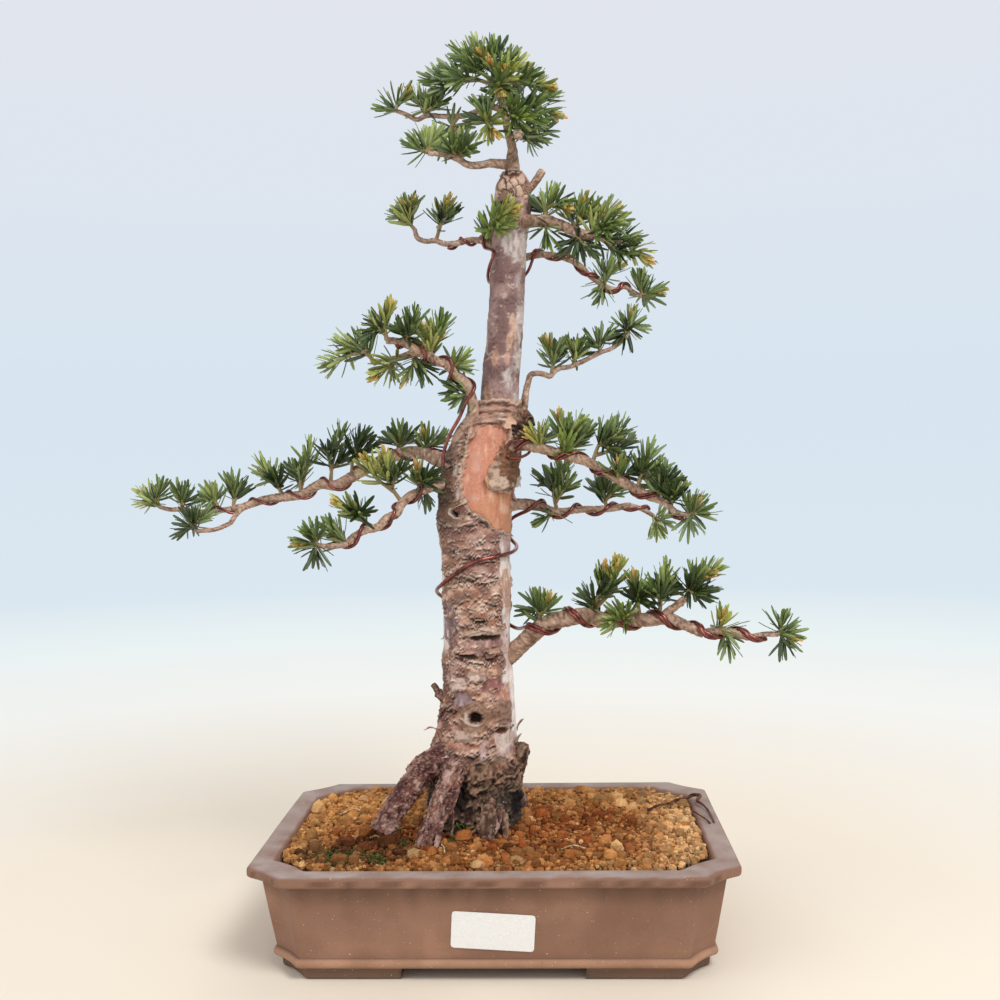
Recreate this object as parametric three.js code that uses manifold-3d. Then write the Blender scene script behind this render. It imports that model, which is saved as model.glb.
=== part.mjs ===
// A japanese yew bonsai: a flaky trunk with tiered, wired branches in a shallow
// rectangular clay pot with cut corners. Millimetres, +Z up, the front faces -Y.
import * as THREE from "three";
import { mergeVertices } from "three/addons/utils/BufferGeometryUtils.js";
import Module from "manifold-3d";

const wasm = await Module();
wasm.setup();

// Driving dimensions
const GAP = 0.3;
const POT = {
  width: 300,
  depth: 216,
  height: 66.5,
  cornerX: 23,
  cornerY: 21,
  cornerBow: 2.4,
  cornerSteps: 3,
  floorTop: 16,
  footBase: -1.5,
  footTop: 6.5,
  footStartX: 56,
  footStartY: 42,
  footInset: 17,
  footCut: 0.78,
  footWidth: 16,
  footTaper: 0.8,
  footSunk: 0.5,
  drainRadius: 11,
  drainSides: 10,
  drainX: 72,
};
const LABEL = { width: 50, height: 23.5, thickness: 0.4, x: 0.5, z: 30.3, corner: 2, tilt: 3.6 };
const SOIL = { edge: 64.8, mound: 6.5, spread: 46, grain: 1.1, sunk: 2, columns: 14, rows: 10 };
const COIL = { stepsATurn: 5, samples: 200 };

// Needles stand in whorls on a shoot. Their tilts from its line run from the tip down,
// and each tries the turns in its list until it finds room.
const NEEDLE = {
  short: 13,
  long: 18.5,
  bud: 12,
  reach: 0.8,
  rooted: 0.35,
  tilts: [0.55, 0.9, 1.25],
  tiltSpread: 0.15,
  turns: [0, 0.22, 0.45, -0.12],
};
const SHOOT = {
  radii: [1, 1.3, 1.2, 1.1],
  radius: 1.3,
  whorl: 2.9,
  firstBand: 1.5,
  twist: 0.8,
  lead: 0.7,
  rooted: 0.3,
  bends: [0, 2.5, 5, 7.5, 10],
};
const STEM = { radii: [1.9, 1.6, 1.4], tip: 1.3, leafy: 13, ring: 13, clear: 2, places: 40, roll: 0.4 };

// Outer wall of the pot from the band at its foot to the rim, as height, inset and the
// share of the corner cut's length along the front
const OUTER_PROFILE = [
  [6.2, 15.2, 0.78], [7.6, 13.2, 0.78], [9.4, 12.6, 0.78], [11.2, 13, 0.78], [12.4, 14.4, 0.79],
  [35, 10.9, 0.84], [57.6, 7.4, 0.9], [58.8, 4.2, 0.95], [59.8, 1, 1], [61.5, 0, 1],
  [65.2, 0, 1], [POT.height, 1, 1],
];
const INNER_PROFILE = [[POT.floorTop, 27], [58, 20], [63.5, 16.2], [POT.height + 1, 15]];

// The trunk from its buried foot, over the shoulder where the old top was cut, to the crown
const TRUNK = {
  points: [
    [-16, -4, 48], [-16, -2, 83], [-16, 0, 107], [-13, 2, 126], [-11, 3, 154], [-12, 2, 192],
    [-12, 0, 221], [-12, -1, 251], [-12, -1, 268], [-9, 0, 294], [-5, 1, 316], [1, 2, 335],
    [5, 2, 346], [6, 3, 356], [8, 4, 379], [10, 4, 397], [12, 3, 422], [14, 2, 456],
    [17, 1, 481], [17, 0, 494], [17, 0, 503],
  ],
  radii: [
    27, 28.5, 31, 27.5, 24, 23, 23, 23.7, 24.5, 24.8, 24, 19, 15.2, 12.9, 12.3, 11.7,
    11.4, 11.5, 12, 11, 6.5,
  ],
  sides: 12,
  rings: 20,
  relief: 0.035,
};

// Branches by place: points along the centre line, radii spread evenly over them,
// and the index of the point where the bare wood ends and a leafy stem goes on
const BRANCHES = {
  leader: {
    points: [
      [17, 0, 499], [17, 0, 512], [17, -1, 518], [15, -2, 526], [13, -2, 537], [11, -1, 546],
      [8, 0, 556], [6, 2, 567],
    ],
    radii: [5.5, 3.4, 2.6, 2.4, 2.2, 1.9],
    sides: 5,
    rings: 8,
  },
  lowRight: {
    points: [
      [5, 1, 176], [21, -4, 191], [32, -8, 201], [41, -11, 205], [50, -14, 207], [61, -17, 209],
      [72, -20, 206], [87, -24, 207], [101, -28, 207], [114, -31, 208], [124, -34, 204],
      [135, -37, 199], [144, -39, 201], [156, -41, 199], [163, -42, 197], [172, -43, 199],
      [181, -43, 199],
    ],
    radii: [6, 5.4, 5.2, 4.8, 3.4, 2.8, 2, 1.5],
    woodEnd: 11,
    sides: 6,
    rings: 12,
  },
  lowRightFork: {
    points: [[107, -30, 207], [114, -31, 213], [119, -33, 217], [125, -36, 223]],
    radii: [3, 2.4, 2],
    sides: 5,
    rings: 2,
  },
  longLeft: {
    points: [
      [-20, -2, 308], [-36, 4, 313], [-44, 8, 317], [-53, 12, 318], [-64, 16, 317], [-75, 20, 313],
      [-87, 24, 308], [-100, 28, 301], [-111, 32, 296], [-122, 35, 297], [-136, 39, 290],
      [-152, 43, 288], [-166, 46, 286], [-179, 49, 282], [-189, 51, 280], [-199, 53, 279],
      [-214, 55, 278], [-227, 57, 280], [-236, 58, 280], [-244, 59, 282],
    ],
    radii: [6, 4.2, 4, 3.4, 3, 2.2, 1.7, 1.4],
    woodEnd: 14,
    sides: 6,
    rings: 13,
  },
  longLeftLower: {
    points: [[-176, 48, 283], [-183, 48, 279], [-189, 44, 270], [-199, 41, 266], [-211, 40, 265]],
    radii: [2, 1.7, 1.4],
    woodEnd: 2,
    sides: 5,
    rings: 2,
  },
  frontLeft: {
    points: [
      [-14, -4, 298], [-29, -12, 296], [-38, -16, 295], [-46, -20, 292], [-53, -24, 289],
      [-58, -27, 284], [-61, -30, 278], [-67, -33, 275], [-72, -36, 270], [-80, -39, 268],
      [-87, -43, 264], [-91, -46, 260], [-97, -49, 259], [-106, -52, 259],
    ],
    radii: [3.6, 3, 2.8, 2.6, 2.2, 1.6],
    woodEnd: 11,
    sides: 6,
    rings: 10,
  },
  frontRight: {
    points: [
      [4, -6, 319], [15, -14, 321], [23, -18, 321], [36, -22, 318], [49, -26, 314], [56, -28, 312],
      [64, -31, 309], [76, -35, 302], [91, -40, 293], [101, -44, 287], [110, -47, 284],
      [117, -50, 277], [126, -52, 275],
    ],
    radii: [4.4, 3.2, 3, 3, 2.4, 1.8],
    woodEnd: 10,
    sides: 6,
    rings: 9,
  },
  backRight: {
    points: [
      [5, 1, 281], [17, 6, 282], [28, 11, 281], [43, 17, 276], [59, 24, 277], [79, 31, 277],
      [94, 37, 279], [103, 41, 276], [111, 45, 271],
    ],
    radii: [5, 3.4, 2.4, 2.2, 1.8, 1.5],
    woodEnd: 6,
    sides: 6,
    rings: 6,
  },
  upperLeft: {
    points: [
      [-14, 0, 308], [-21, -4, 321], [-19, -6, 330], [-14, -9, 337], [-11, -12, 345],
      [-13, -14, 355], [-16, -16, 363], [-22, -19, 368], [-27, -22, 374], [-35, -25, 377],
      [-40, -28, 381], [-47, -31, 384], [-55, -35, 388], [-64, -39, 389],
    ],
    radii: [7, 4.2, 3.4, 2.9, 2.6, 2],
    sides: 6,
    rings: 12,
  },
  upperLeftLower: {
    points: [[-37, -27, 379], [-49, -22, 382], [-59, -17, 380], [-68, -12, 379], [-77, -8, 377]],
    radii: [2.4, 1.9, 1.6, 1.4],
    woodEnd: 2,
    sides: 5,
    rings: 2,
  },
  thinRight: {
    points: [
      [11, 3, 334], [21, 6, 344], [23, 8, 355], [25, 9, 364], [27, 10, 369], [33, 13, 370],
      [40, 16, 368], [45, 19, 373], [54, 23, 375], [63, 27, 379], [75, 32, 385], [83, 36, 388],
      [90, 39, 393], [95, 41, 398],
    ],
    radii: [3, 1.9, 1.8, 1.7, 1.5, 1.3],
    woodEnd: 6,
    sides: 5,
    rings: 6,
  },
  highLeft: {
    points: [
      [14, 2, 444], [8, 4, 449], [6, 6, 452], [1, 9, 456], [-5, 12, 460], [-14, 15, 461],
      [-19, 17, 460], [-30, 21, 460], [-38, 24, 463], [-44, 26, 463], [-50, 28, 466],
      [-52, 29, 472],
    ],
    radii: [3, 2.3, 2, 1.8, 1.6],
    woodEnd: 6,
    sides: 5,
    rings: 5,
  },
  highRight: {
    points: [
      [16, 0, 470], [28, -6, 469], [37, -10, 468], [44, -14, 466], [52, -17, 462],
      [57, -20, 459], [63, -23, 456], [69, -26, 454],
    ],
    radii: [5, 3.6, 3.2, 2.6],
    sides: 6,
    rings: 6,
  },
  highRightLower: {
    points: [
      [14, 2, 442], [24, 7, 447], [30, 10, 449], [38, 13, 450], [44, 16, 450], [51, 18, 448],
      [57, 21, 446], [63, 23, 442], [68, 25, 437], [73, 27, 433], [79, 30, 430], [86, 32, 428],
      [92, 34, 430], [98, 36, 427], [103, 38, 424],
    ],
    radii: [2.8, 1.9, 1.8, 1.6, 1.4],
    woodEnd: 8,
    sides: 5,
    rings: 7,
  },
  crownLeft: {
    points: [
      [17, 0, 507], [8, -6, 507], [2, -8, 507], [-5, -11, 505], [-12, -14, 505], [-18, -17, 508],
      [-24, -19, 510], [-32, -21, 511], [-37, -22, 511],
    ],
    radii: [3.4, 2.4, 2, 1.6],
    woodEnd: 2,
    sides: 5,
    rings: 2,
  },
  crownFarLeft: {
    points: [
      [12, -1, 543], [4, 3, 547], [-4, 7, 546], [-14, 11, 544], [-28, 16, 545], [-42, 20, 547],
      [-48, 22, 545], [-55, 24, 549], [-62, 25, 552],
    ],
    radii: [2.2, 1.8, 1.6, 1.4],
    woodEnd: 1,
    sides: 5,
    rings: 1,
  },
};

// Roots that spread over the soil, stubs of cut branches and the old wound
const ROOTS_AND_STUBS = [
  {
    points: [[-22, -6, 124], [-42, -17, 111], [-56, -28, 98], [-66, -36, 86], [-73, -40, 73]],
    radii: [9, 8.2, 7.2, 6.4],
    sides: 7,
    rings: 4,
  },
  {
    points: [[-20, -10, 126], [-26, -26, 110], [-33, -38, 93], [-39, -46, 79], [-43, -51, 64]],
    radii: [8, 7.4, 6.4, 4.6],
    sides: 7,
    rings: 4,
  },
  { points: [[-6, -12, 98], [-4, -28, 80], [-5, -38, 64]], radii: [11, 8, 5], sides: 7, rings: 3 },
  { points: [[0, 8, 96], [10, 20, 78], [16, 30, 62]], radii: [10, 8, 5], sides: 7, rings: 3 },
  { points: [[-24, 8, 100], [-40, 22, 80], [-48, 30, 62]], radii: [10, 7.5, 5], sides: 7, rings: 3 },
  { points: [[-30, 0, 152], [-42, -2, 157]], radii: [3.4, 2.6], sides: 6, rings: 1 },
  { points: [[8, -2, 108], [24, -3, 116]], radii: [6, 4.5], sides: 7, rings: 1 },
  { points: [[20, -4, 484], [29, -6, 491], [37, -9, 501]], radii: [3.6, 2.8, 2.4], sides: 6, rings: 2 },
  { points: [[-17, -16, 281], [-21, -27, 280]], radii: [6, 3.6], sides: 7, rings: 1 },
  { points: [[12, -1, 332], [25, -2, 338]], radii: [7, 5], sides: 7, rings: 1 },
];

// Wires: a coil names its branch, the stretch it covers, its turns and its first angle
// in turns, a list of three numbers is a point of the stretch that crosses the trunk
const WIRES = [
  {
    name: "wire_long_left",
    radius: 0.95,
    route: [
      { around: "longLeft", from: 0.93, to: 0.1, turns: 7, start: 0.58 },
      [-30, 14, 318], [-24, 23, 321], [-12, 29, 324], [2, 27, 325], [14, 17, 324],
      [19.5, 4, 320],
      { around: "frontRight", from: 0.12, to: 0.97, turns: 4, start: 0.08 },
    ],
  },
  {
    name: "wire_low_right",
    radius: 1.3,
    route: [
      { around: "lowRight", from: 0.96, to: 0.16, turns: 5.5, start: 0.67 },
      [14, 15, 197], [5, 21.5, 201], [-8, 25.5, 206], [-22, 24.5, 212], [-34, 15, 218],
      [-38.4, 1, 224], [-34, -14, 230], [-22.5, -24, 239], [-11, -27, 246], [4, -22, 249],
      [13.5, -9, 251], [15.5, 5, 254], [10.5, 17, 260], [11, 18.5, 270],
      { around: "backRight", from: 0.16, to: 0.96, turns: 3.5, start: 0.08 },
    ],
  },
  {
    name: "wire_upper_left",
    radius: 1.2,
    route: [
      { around: "upperLeft", from: 0.95, to: 0.42, turns: 3, start: 0.08 },
      [-20, -17, 340], [-27, -16, 328], [-31, -16, 316], [-32, -18, 307],
      { around: "frontLeft", from: 0.26, to: 0.93, turns: 3, start: 0.42 },
    ],
  },
  {
    name: "wire_high",
    radius: 1.05,
    route: [
      { around: "highLeft", from: 0.62, to: 0.26, turns: 2, start: 0.2 },
      [4, -8.5, 448], [1, -7, 440], [-0.6, 0, 434], [1, 10.2, 431], [12, 16.2, 431],
      [21, 13.5, 434], [26.5, 8, 439],
      { around: "highRightLower", from: 0.16, to: 0.93, turns: 3.5, start: 0.9 },
    ],
  },
];

// Leafy stems and sprays: the stem from its root to its own tip, then the tips of the
// shoots that fork off it. A stem that names a branch goes on from its bare wood.
const SPRAYS = [
  { name: "low_right_bud", stem: [[31, -8, 202], [30, -9, 219]], tips: [[25, -4, 211]] },
  {
    name: "low_right_rise",
    stem: [[70, -19, 208], [72, -22, 224], [73, -22, 238]],
    tips: [[61, -15, 221], [72, -10, 225]],
  },
  {
    name: "low_right_middle",
    stem: [[100, -28, 208], [100, -28, 222], [92, -30, 233]],
    tips: [[103, -16, 225], [112, -33, 240]],
  },
  {
    name: "low_right_fork",
    stem: [[125, -36, 223], [131, -36, 231], [137, -38, 237]],
    tips: [[131, -46, 225], [142, -25, 225]],
  },
  { name: "low_right_fan", stem: [[87, -24, 206], [87, -40, 212]], tips: [[76, -35, 205]] },
  {
    name: "low_right_tip",
    branch: "lowRight",
    stem: [[188, -43, 198]],
    tips: [[146, -43, 210], [151, -37, 190], [183, -48, 208]],
  },
  {
    name: "long_left_tip",
    branch: "longLeft",
    stem: [[-253, 60, 287]],
    tips: [
      [-189, 47, 299], [-203, 49, 292], [-210, 61, 287], [-228, 51, 293],
      [-225, 66, 289], [-241, 53, 294], [-259, 68, 290],
    ],
  },
  {
    name: "long_left_lower",
    branch: "longLeftLower",
    stem: [[-220, 42, 265]],
    tips: [[-207, 47, 274]],
  },
  {
    name: "long_left_outer",
    stem: [[-143, 41, 289], [-148, 39, 302], [-164, 38, 311]],
    tips: [[-163, 51, 302], [-135, 29, 309], [-131, 44, 322], [-147, 53, 307]],
  },
  {
    name: "long_left_crest",
    stem: [[-107, 31, 298], [-108, 32, 314], [-106, 34, 333]],
    tips: [[-104, 46, 317], [-89, 26, 331], [-84, 38, 321], [-93, 16, 317]],
  },
  {
    name: "long_left_inner",
    stem: [[-57, 13, 318], [-63, 9, 332]],
    tips: [[-57, 28, 327], [-45, 3, 328], [-37, 19, 327]],
  },
  {
    name: "front_left_root",
    stem: [[-45, -19, 292], [-48, -26, 305]],
    tips: [[-40, -12, 305], [-37, -31, 301]],
  },
  {
    name: "front_left_yellow",
    stem: [[-59, -28, 283], [-62, -31, 298], [-67, -34, 314]],
    tips: [[-79, -39, 311], [-66, -20, 301], [-54, -42, 304]],
  },
  {
    name: "front_left_bend",
    stem: [[-77, -38, 268], [-85, -41, 276], [-94, -42, 285]],
    tips: [[-86, -32, 279], [-80, -51, 280]],
  },
  {
    name: "front_left_tip",
    branch: "frontLeft",
    stem: [[-116, -56, 261]],
    tips: [[-99, -43, 267], [-110, -47, 252], [-110, -63, 267]],
  },
  {
    name: "front_right_root",
    stem: [[42, -24, 316], [46, -27, 326], [46, -30, 337]],
    tips: [[29, -27, 327], [37, -14, 326], [63, -27, 328]],
  },
  {
    name: "front_right_cone",
    stem: [[68, -32, 306], [74, -31, 318], [79, -28, 332]],
    tips: [[89, -22, 321], [75, -43, 318]],
  },
  {
    name: "front_right_crest",
    stem: [[89, -40, 294], [95, -40, 305], [102, -38, 316]],
    tips: [[91, -30, 303], [97, -50, 306], [108, -31, 304]],
  },
  {
    name: "front_right_tip",
    branch: "frontRight",
    stem: [[134, -57, 277]],
    tips: [[114, -57, 292], [121, -46, 291], [127, -44, 267]],
  },
  {
    name: "back_right_rise",
    stem: [[43, 17, 277], [45, 17, 290], [44, 14, 301]],
    tips: [[53, 21, 309], [35, 27, 297]],
  },
  {
    name: "back_right_middle",
    stem: [[78, 31, 277], [78, 30, 297]],
    tips: [[70, 38, 291], [86, 22, 290]],
  },
  { name: "back_right_tip", branch: "backRight", stem: [[120, 51, 267]], tips: [[113, 42, 260]] },
  {
    name: "upper_left_tip",
    stem: [[-60, -37, 388], [-61, -39, 398], [-62, -42, 408]],
    tips: [[-74, -45, 395], [-71, -30, 400], [-46, -39, 404], [-55, -49, 395]],
  },
  {
    name: "upper_left_elbow",
    stem: [[-35, -25, 377], [-34, -28, 391]],
    tips: [[-42, -20, 395], [-27, -37, 398], [-18, -24, 379]],
  },
  { name: "upper_left_neck", stem: [[-12, -13, 352], [-22, -18, 352]], tips: [[-24, -6, 359]] },
  {
    name: "upper_left_lower",
    branch: "upperLeftLower",
    stem: [[-90, -9, 377], [-106, -10, 377]],
    tips: [[-83, -13, 394], [-92, -2, 388], [-97, -14, 389]],
  },
  {
    name: "upper_left_star",
    stem: [[-53, -20, 382], [-60, -22, 375], [-71, -26, 369]],
    tips: [[-63, -9, 369], [-53, -21, 367]],
  },
  {
    name: "thin_right_stem",
    branch: "thinRight",
    stem: [[96, 40, 410]],
    tips: [
      [38, 11, 387], [57, 18, 388], [64, 33, 386], [102, 47, 403], [90, 33, 396],
    ],
  },
  {
    name: "high_left_stem",
    branch: "highLeft",
    stem: [[-59, 28, 487]],
    tips: [[-66, 35, 482], [-53, 19, 486], [-29, 22, 487], [-34, 32, 478]],
  },
  {
    name: "high_left_root",
    stem: [[1, 9, 456], [-2, -4, 464], [2, -14, 471]],
    tips: [[-5, 2, 473], [16, -22, 473], [9, -20, 461]],
  },
  {
    name: "high_right_root",
    stem: [[38, -11, 468], [43, -14, 484]],
    tips: [[34, -3, 480]],
  },
  {
    name: "high_right_middle",
    stem: [[57, -20, 459], [63, -22, 475]],
    tips: [[55, -8, 474], [68, -31, 471]],
  },
  {
    name: "high_right_end",
    stem: [[68, -26, 454], [80, -29, 453], [94, -24, 453]],
    tips: [
      [73, -22, 468], [86, -37, 463], [76, -43, 456], [100, -31, 440],
      [87, -38, 440],
    ],
  },
  {
    name: "high_right_lower_tip",
    branch: "highRightLower",
    stem: [[114, 38, 427]],
    tips: [[79, 25, 441], [88, 34, 443], [104, 32, 434]],
  },
  {
    name: "crown_left_stem",
    branch: "crownLeft",
    stem: [[-44, -28, 514]],
    tips: [[-16, -10, 519], [-12, -25, 515], [-34, -13, 524]],
  },
  {
    name: "crown_far_left_stem",
    branch: "crownFarLeft",
    stem: [[-68, 24, 553]],
    tips: [[-57, 19, 560], [-39, 16, 558], [-31, 8, 524], [-21, 20, 535]],
  },
  {
    name: "crown_top",
    stem: [[6, 2, 566], [5, 1, 576], [5, 0, 585]],
    tips: [[10, 9, 586], [-15, 14, 584], [-18, -1, 581]],
  },
  {
    name: "crown_far",
    stem: [[8, 0, 557], [-12, 4, 565], [-27, 7, 573]],
    tips: [[-32, -2, 559], [-10, -13, 570]],
  },
  {
    name: "crown_front",
    stem: [[9, -1, 553], [9, -14, 557], [5, -19, 568]],
    tips: [[11, -31, 549]],
  },
  {
    name: "crown_right",
    stem: [[7, 1, 562], [18, -1, 568], [30, -7, 564]],
    tips: [[17, -4, 579], [24, 10, 574]],
  },
  {
    name: "crown_side",
    stem: [[12, -1, 542], [28, 1, 547], [44, 8, 554]],
    tips: [[45, -5, 541], [34, -15, 544]],
  },
  {
    name: "crown_big",
    stem: [[14, -2, 534], [17, -16, 534], [24, -27, 531]],
    tips: [[34, -20, 530], [4, -27, 523], [-4, -25, 538]],
  },
  {
    name: "crown_low",
    stem: [[15, -2, 526], [26, 0, 524], [38, -1, 525]],
    tips: [[42, 13, 534], [30, 16, 527]],
  },
  {
    name: "crown_back",
    stem: [[10, 0, 548], [9, 13, 555], [8, 26, 567]],
    tips: [[20, 23, 562], [-1, 28, 557], [26, 26, 549]],
  },
];

const COLORS = {
  clay: { color: 0x7a5f5a, roughness: 0.85 },
  soil: { color: 0x9a5c2c, roughness: 1 },
  bark: { color: 0x8a6a58, roughness: 0.95 },
  needles: { color: 0x3f6a2c, roughness: 0.55 },
  wire: { color: 0x6e3a30, roughness: 0.35, metalness: 0.8 },
  paper: { color: 0xf4f3f0, roughness: 0.6 },
};

// Helpers
function hash(seed) {
  const wave = Math.sin(seed * 12.9898) * 43758.5453;
  return wave - Math.floor(wave);
}

function vector([x, y, z]) {
  return new THREE.Vector3(x, y, z);
}

function spread(values, t) {
  const place = THREE.MathUtils.clamp(t, 0, 1) * (values.length - 1);
  const index = Math.min(Math.floor(place), values.length - 2);
  return THREE.MathUtils.lerp(values[index], values[index + 1], place - index);
}

function solid(geometry) {
  const bare = geometry.clone();
  bare.deleteAttribute("normal");
  bare.deleteAttribute("uv");
  const merged = mergeVertices(bare, 1e-4);
  return new wasm.Manifold(new wasm.Mesh({
    numProp: 3,
    vertProperties: new Float32Array(merged.attributes.position.array),
    triVerts: new Uint32Array(merged.index.array),
  }));
}

function largestBody(body) {
  const pieces = body.decompose();
  return pieces.reduce((best, piece) => (piece.volume() > best.volume() ? piece : best));
}

function meshOf(name, body, finish) {
  const { vertProperties, triVerts } = body.getMesh();
  const geometry = new THREE.BufferGeometry();
  geometry.setAttribute("position", new THREE.BufferAttribute(vertProperties, 3));
  geometry.setIndex(new THREE.BufferAttribute(triVerts, 1));
  geometry.computeVertexNormals();
  const mesh = new THREE.Mesh(geometry, new THREE.MeshStandardMaterial(finish));
  mesh.name = name;
  return mesh;
}

// Pot outline, counter-clockwise, with its corners cut off in an inward curve
function potOutline(inset, cut = 1) {
  const x = POT.width / 2 - inset;
  const y = POT.depth / 2 - inset;
  const cornerX = POT.cornerX * cut;
  const nearX = x - cornerX;
  const nearY = y - POT.cornerY;
  const bendX = x - cornerX / 2 - POT.cornerBow;
  const bendY = y - POT.cornerY / 2 - POT.cornerBow;
  const shape = new THREE.Shape();
  shape.moveTo(x, -nearY);
  shape.lineTo(x, nearY);
  shape.quadraticCurveTo(bendX, bendY, nearX, y);
  shape.lineTo(-nearX, y);
  shape.quadraticCurveTo(-bendX, bendY, -x, nearY);
  shape.lineTo(-x, -nearY);
  shape.quadraticCurveTo(-bendX, -bendY, -nearX, -y);
  shape.lineTo(nearX, -y);
  shape.quadraticCurveTo(bendX, -bendY, x, -nearY);
  return shape.getPoints(POT.cornerSteps).slice(1);
}

// A closed solid through a stack of outlines that all have the same number of points
function loft(layers) {
  const count = layers[0].outline.length;
  const positions = [];
  const index = [];
  layers.forEach(({ outline, z }) => outline.forEach((p) => positions.push(p.x, p.y, z)));
  for (let row = 0; row < layers.length - 1; row += 1) {
    for (let i = 0; i < count; i += 1) {
      const a = row * count + i;
      const b = row * count + ((i + 1) % count);
      index.push(a, b, b + count, a, b + count, a + count);
    }
  }
  const top = (layers.length - 1) * count;
  for (const [a, b, c] of THREE.ShapeUtils.triangulateShape(layers[0].outline, [])) {
    index.push(a, c, b);
    index.push(top + a, top + b, top + c);
  }
  const geometry = new THREE.BufferGeometry();
  geometry.setAttribute("position", new THREE.Float32BufferAttribute(positions, 3));
  geometry.setIndex(index);
  return geometry;
}

function potLoft(profile) {
  return solid(loft(profile.map(([z, inset, cut]) => ({ z, outline: potOutline(inset, cut) }))));
}

function potFeet() {
  const { footBase, footTop, footInset, footCut, footWidth, footTaper, footStartX, footStartY } = POT;
  const [low, high] = [footBase - 1, footTop + 1];
  const inside = footInset + footWidth;
  const ring = potLoft([
    [footBase, footInset + footTaper, footCut], [footTop + POT.footSunk, footInset, footCut],
  ]).subtract(potLoft([[low, inside, footCut], [high, inside, footCut]]));
  const lengthX = POT.width / 2 - footStartX;
  const lengthY = POT.depth / 2 - footStartY;
  const feet = [];
  for (const sideX of [-1, 1]) {
    for (const sideY of [-1, 1]) {
      const corner = new THREE.BoxGeometry(lengthX, lengthY, 2 * high);
      corner.translate(sideX * (footStartX + lengthX / 2), sideY * (footStartY + lengthY / 2), 0);
      feet.push(ring.intersect(solid(corner)));
    }
  }
  return feet;
}

function makePot() {
  const { drainRadius, drainSides, drainX, floorTop } = POT;
  let pot = potLoft(OUTER_PROFILE).subtract(potLoft(INNER_PROFILE));
  for (const foot of potFeet()) pot = pot.add(foot);
  for (const side of [-1, 1]) {
    const hole = new THREE.CylinderGeometry(drainRadius, drainRadius, 2 * floorTop, drainSides);
    hole.rotateX(Math.PI / 2);
    hole.translate(side * drainX, 0, floorTop / 2);
    pot = pot.subtract(solid(hole));
  }
  return pot;
}

// The label lies a little askew on the sloping front wall, just clear of it
function makeLabel() {
  const { width, height, thickness, x, z, corner, tilt } = LABEL;
  const [low, middle] = [OUTER_PROFILE[4], OUTER_PROFILE[5]];
  const slope = (low[1] - middle[1]) / (middle[0] - low[0]);
  const inset = low[1] - slope * (z - low[0]);
  const w = width / 2;
  const h = height / 2;
  const shape = new THREE.Shape();
  shape.moveTo(-w + corner, -h);
  shape.lineTo(w - corner, -h);
  shape.quadraticCurveTo(w, -h, w, -h + corner);
  shape.lineTo(w, h - corner);
  shape.quadraticCurveTo(w, h, w - corner, h);
  shape.lineTo(-w + corner, h);
  shape.quadraticCurveTo(-w, h, -w, h - corner);
  shape.lineTo(-w, -h + corner);
  shape.quadraticCurveTo(-w, -h, -w + corner, -h);
  const geometry = new THREE.ExtrudeGeometry(shape, {
    depth: thickness,
    bevelEnabled: false,
    curveSegments: 2,
  });
  geometry.rotateZ(-THREE.MathUtils.degToRad(tilt));
  geometry.rotateX(Math.PI / 2 + Math.atan(slope));
  geometry.translate(x, -(POT.depth / 2 - inset) - GAP, z);
  return solid(geometry);
}

// Soil: a grid of loose grains heaped towards the trunk, cut to the inside of the pot
function soilHeight(x, y) {
  const [trunkX, trunkY] = TRUNK.points[0];
  const away = Math.hypot(x - trunkX, (y - trunkY) * 1.25);
  const heap = SOIL.mound * Math.exp(-((away / SOIL.spread) ** 2));
  return SOIL.edge + heap + SOIL.grain * (2 * hash(x * 3.1 + y * 7.7) - 1);
}

function makeSoil(buried) {
  const { columns, rows } = SOIL;
  const base = POT.floorTop - SOIL.sunk;
  const grid = new THREE.BoxGeometry(POT.width, POT.depth, 1, columns, rows, 1);
  const position = grid.attributes.position;
  for (let i = 0; i < position.count; i += 1) {
    const x = position.getX(i);
    const y = position.getY(i);
    position.setZ(i, position.getZ(i) > 0 ? soilHeight(Math.round(x), Math.round(y)) : base);
  }
  const room = potLoft(INNER_PROFILE.map(([z, inset], i) => [i === 0 ? z + GAP : z, inset + GAP]));
  return largestBody(solid(grid).intersect(room).subtract(buried));
}

// A stem is a cylinder bent along its centre line, with its own thickness at each ring
function path(points) {
  return new THREE.CatmullRomCurve3(points.map(vector), false, "centripetal");
}

function stem({ points, radii, sides, rings, relief = 0 }, grow = 0) {
  const curve = path(points);
  const frames = curve.computeFrenetFrames(rings);
  const geometry = new THREE.CylinderGeometry(1, 1, 1, sides, rings);
  const position = geometry.attributes.position;
  const local = new THREE.Vector3();
  for (let i = 0; i < position.count; i += 1) {
    local.fromBufferAttribute(position, i);
    const u = local.y + 0.5;
    const ring = Math.round(u * rings);
    const side = Math.round((Math.atan2(local.z, local.x) / (2 * Math.PI)) * sides + sides) % sides;
    const bark = 1 + relief * (2 * hash(ring * 31 + side * 7 + 3) - 1);
    const radius = spread(radii, curve.getUtoTmapping(u)) * bark + grow;
    const end = ring === 0 ? -grow : grow * (ring === rings);
    const point = curve.getPointAt(u).addScaledVector(frames.tangents[ring], end);
    const across = frames.normals[ring].clone().cross(frames.tangents[ring]);
    point.addScaledVector(frames.normals[ring], local.x * radius);
    point.addScaledVector(across, local.z * radius);
    position.setXYZ(i, point.x, point.y, point.z);
  }
  return solid(geometry);
}

// The part of a branch between two of its points, with the radii it has there
function stretch(branch, first, last) {
  const count = branch.points.length - 1;
  const samples = Math.max(2, last - first + 1);
  const radii = Array.from({ length: samples }, (_, i) => {
    const at = THREE.MathUtils.lerp(first, last, i / (samples - 1));
    return spread(branch.radii, at / count);
  });
  return { ...branch, points: branch.points.slice(first, last + 1), radii };
}

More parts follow.
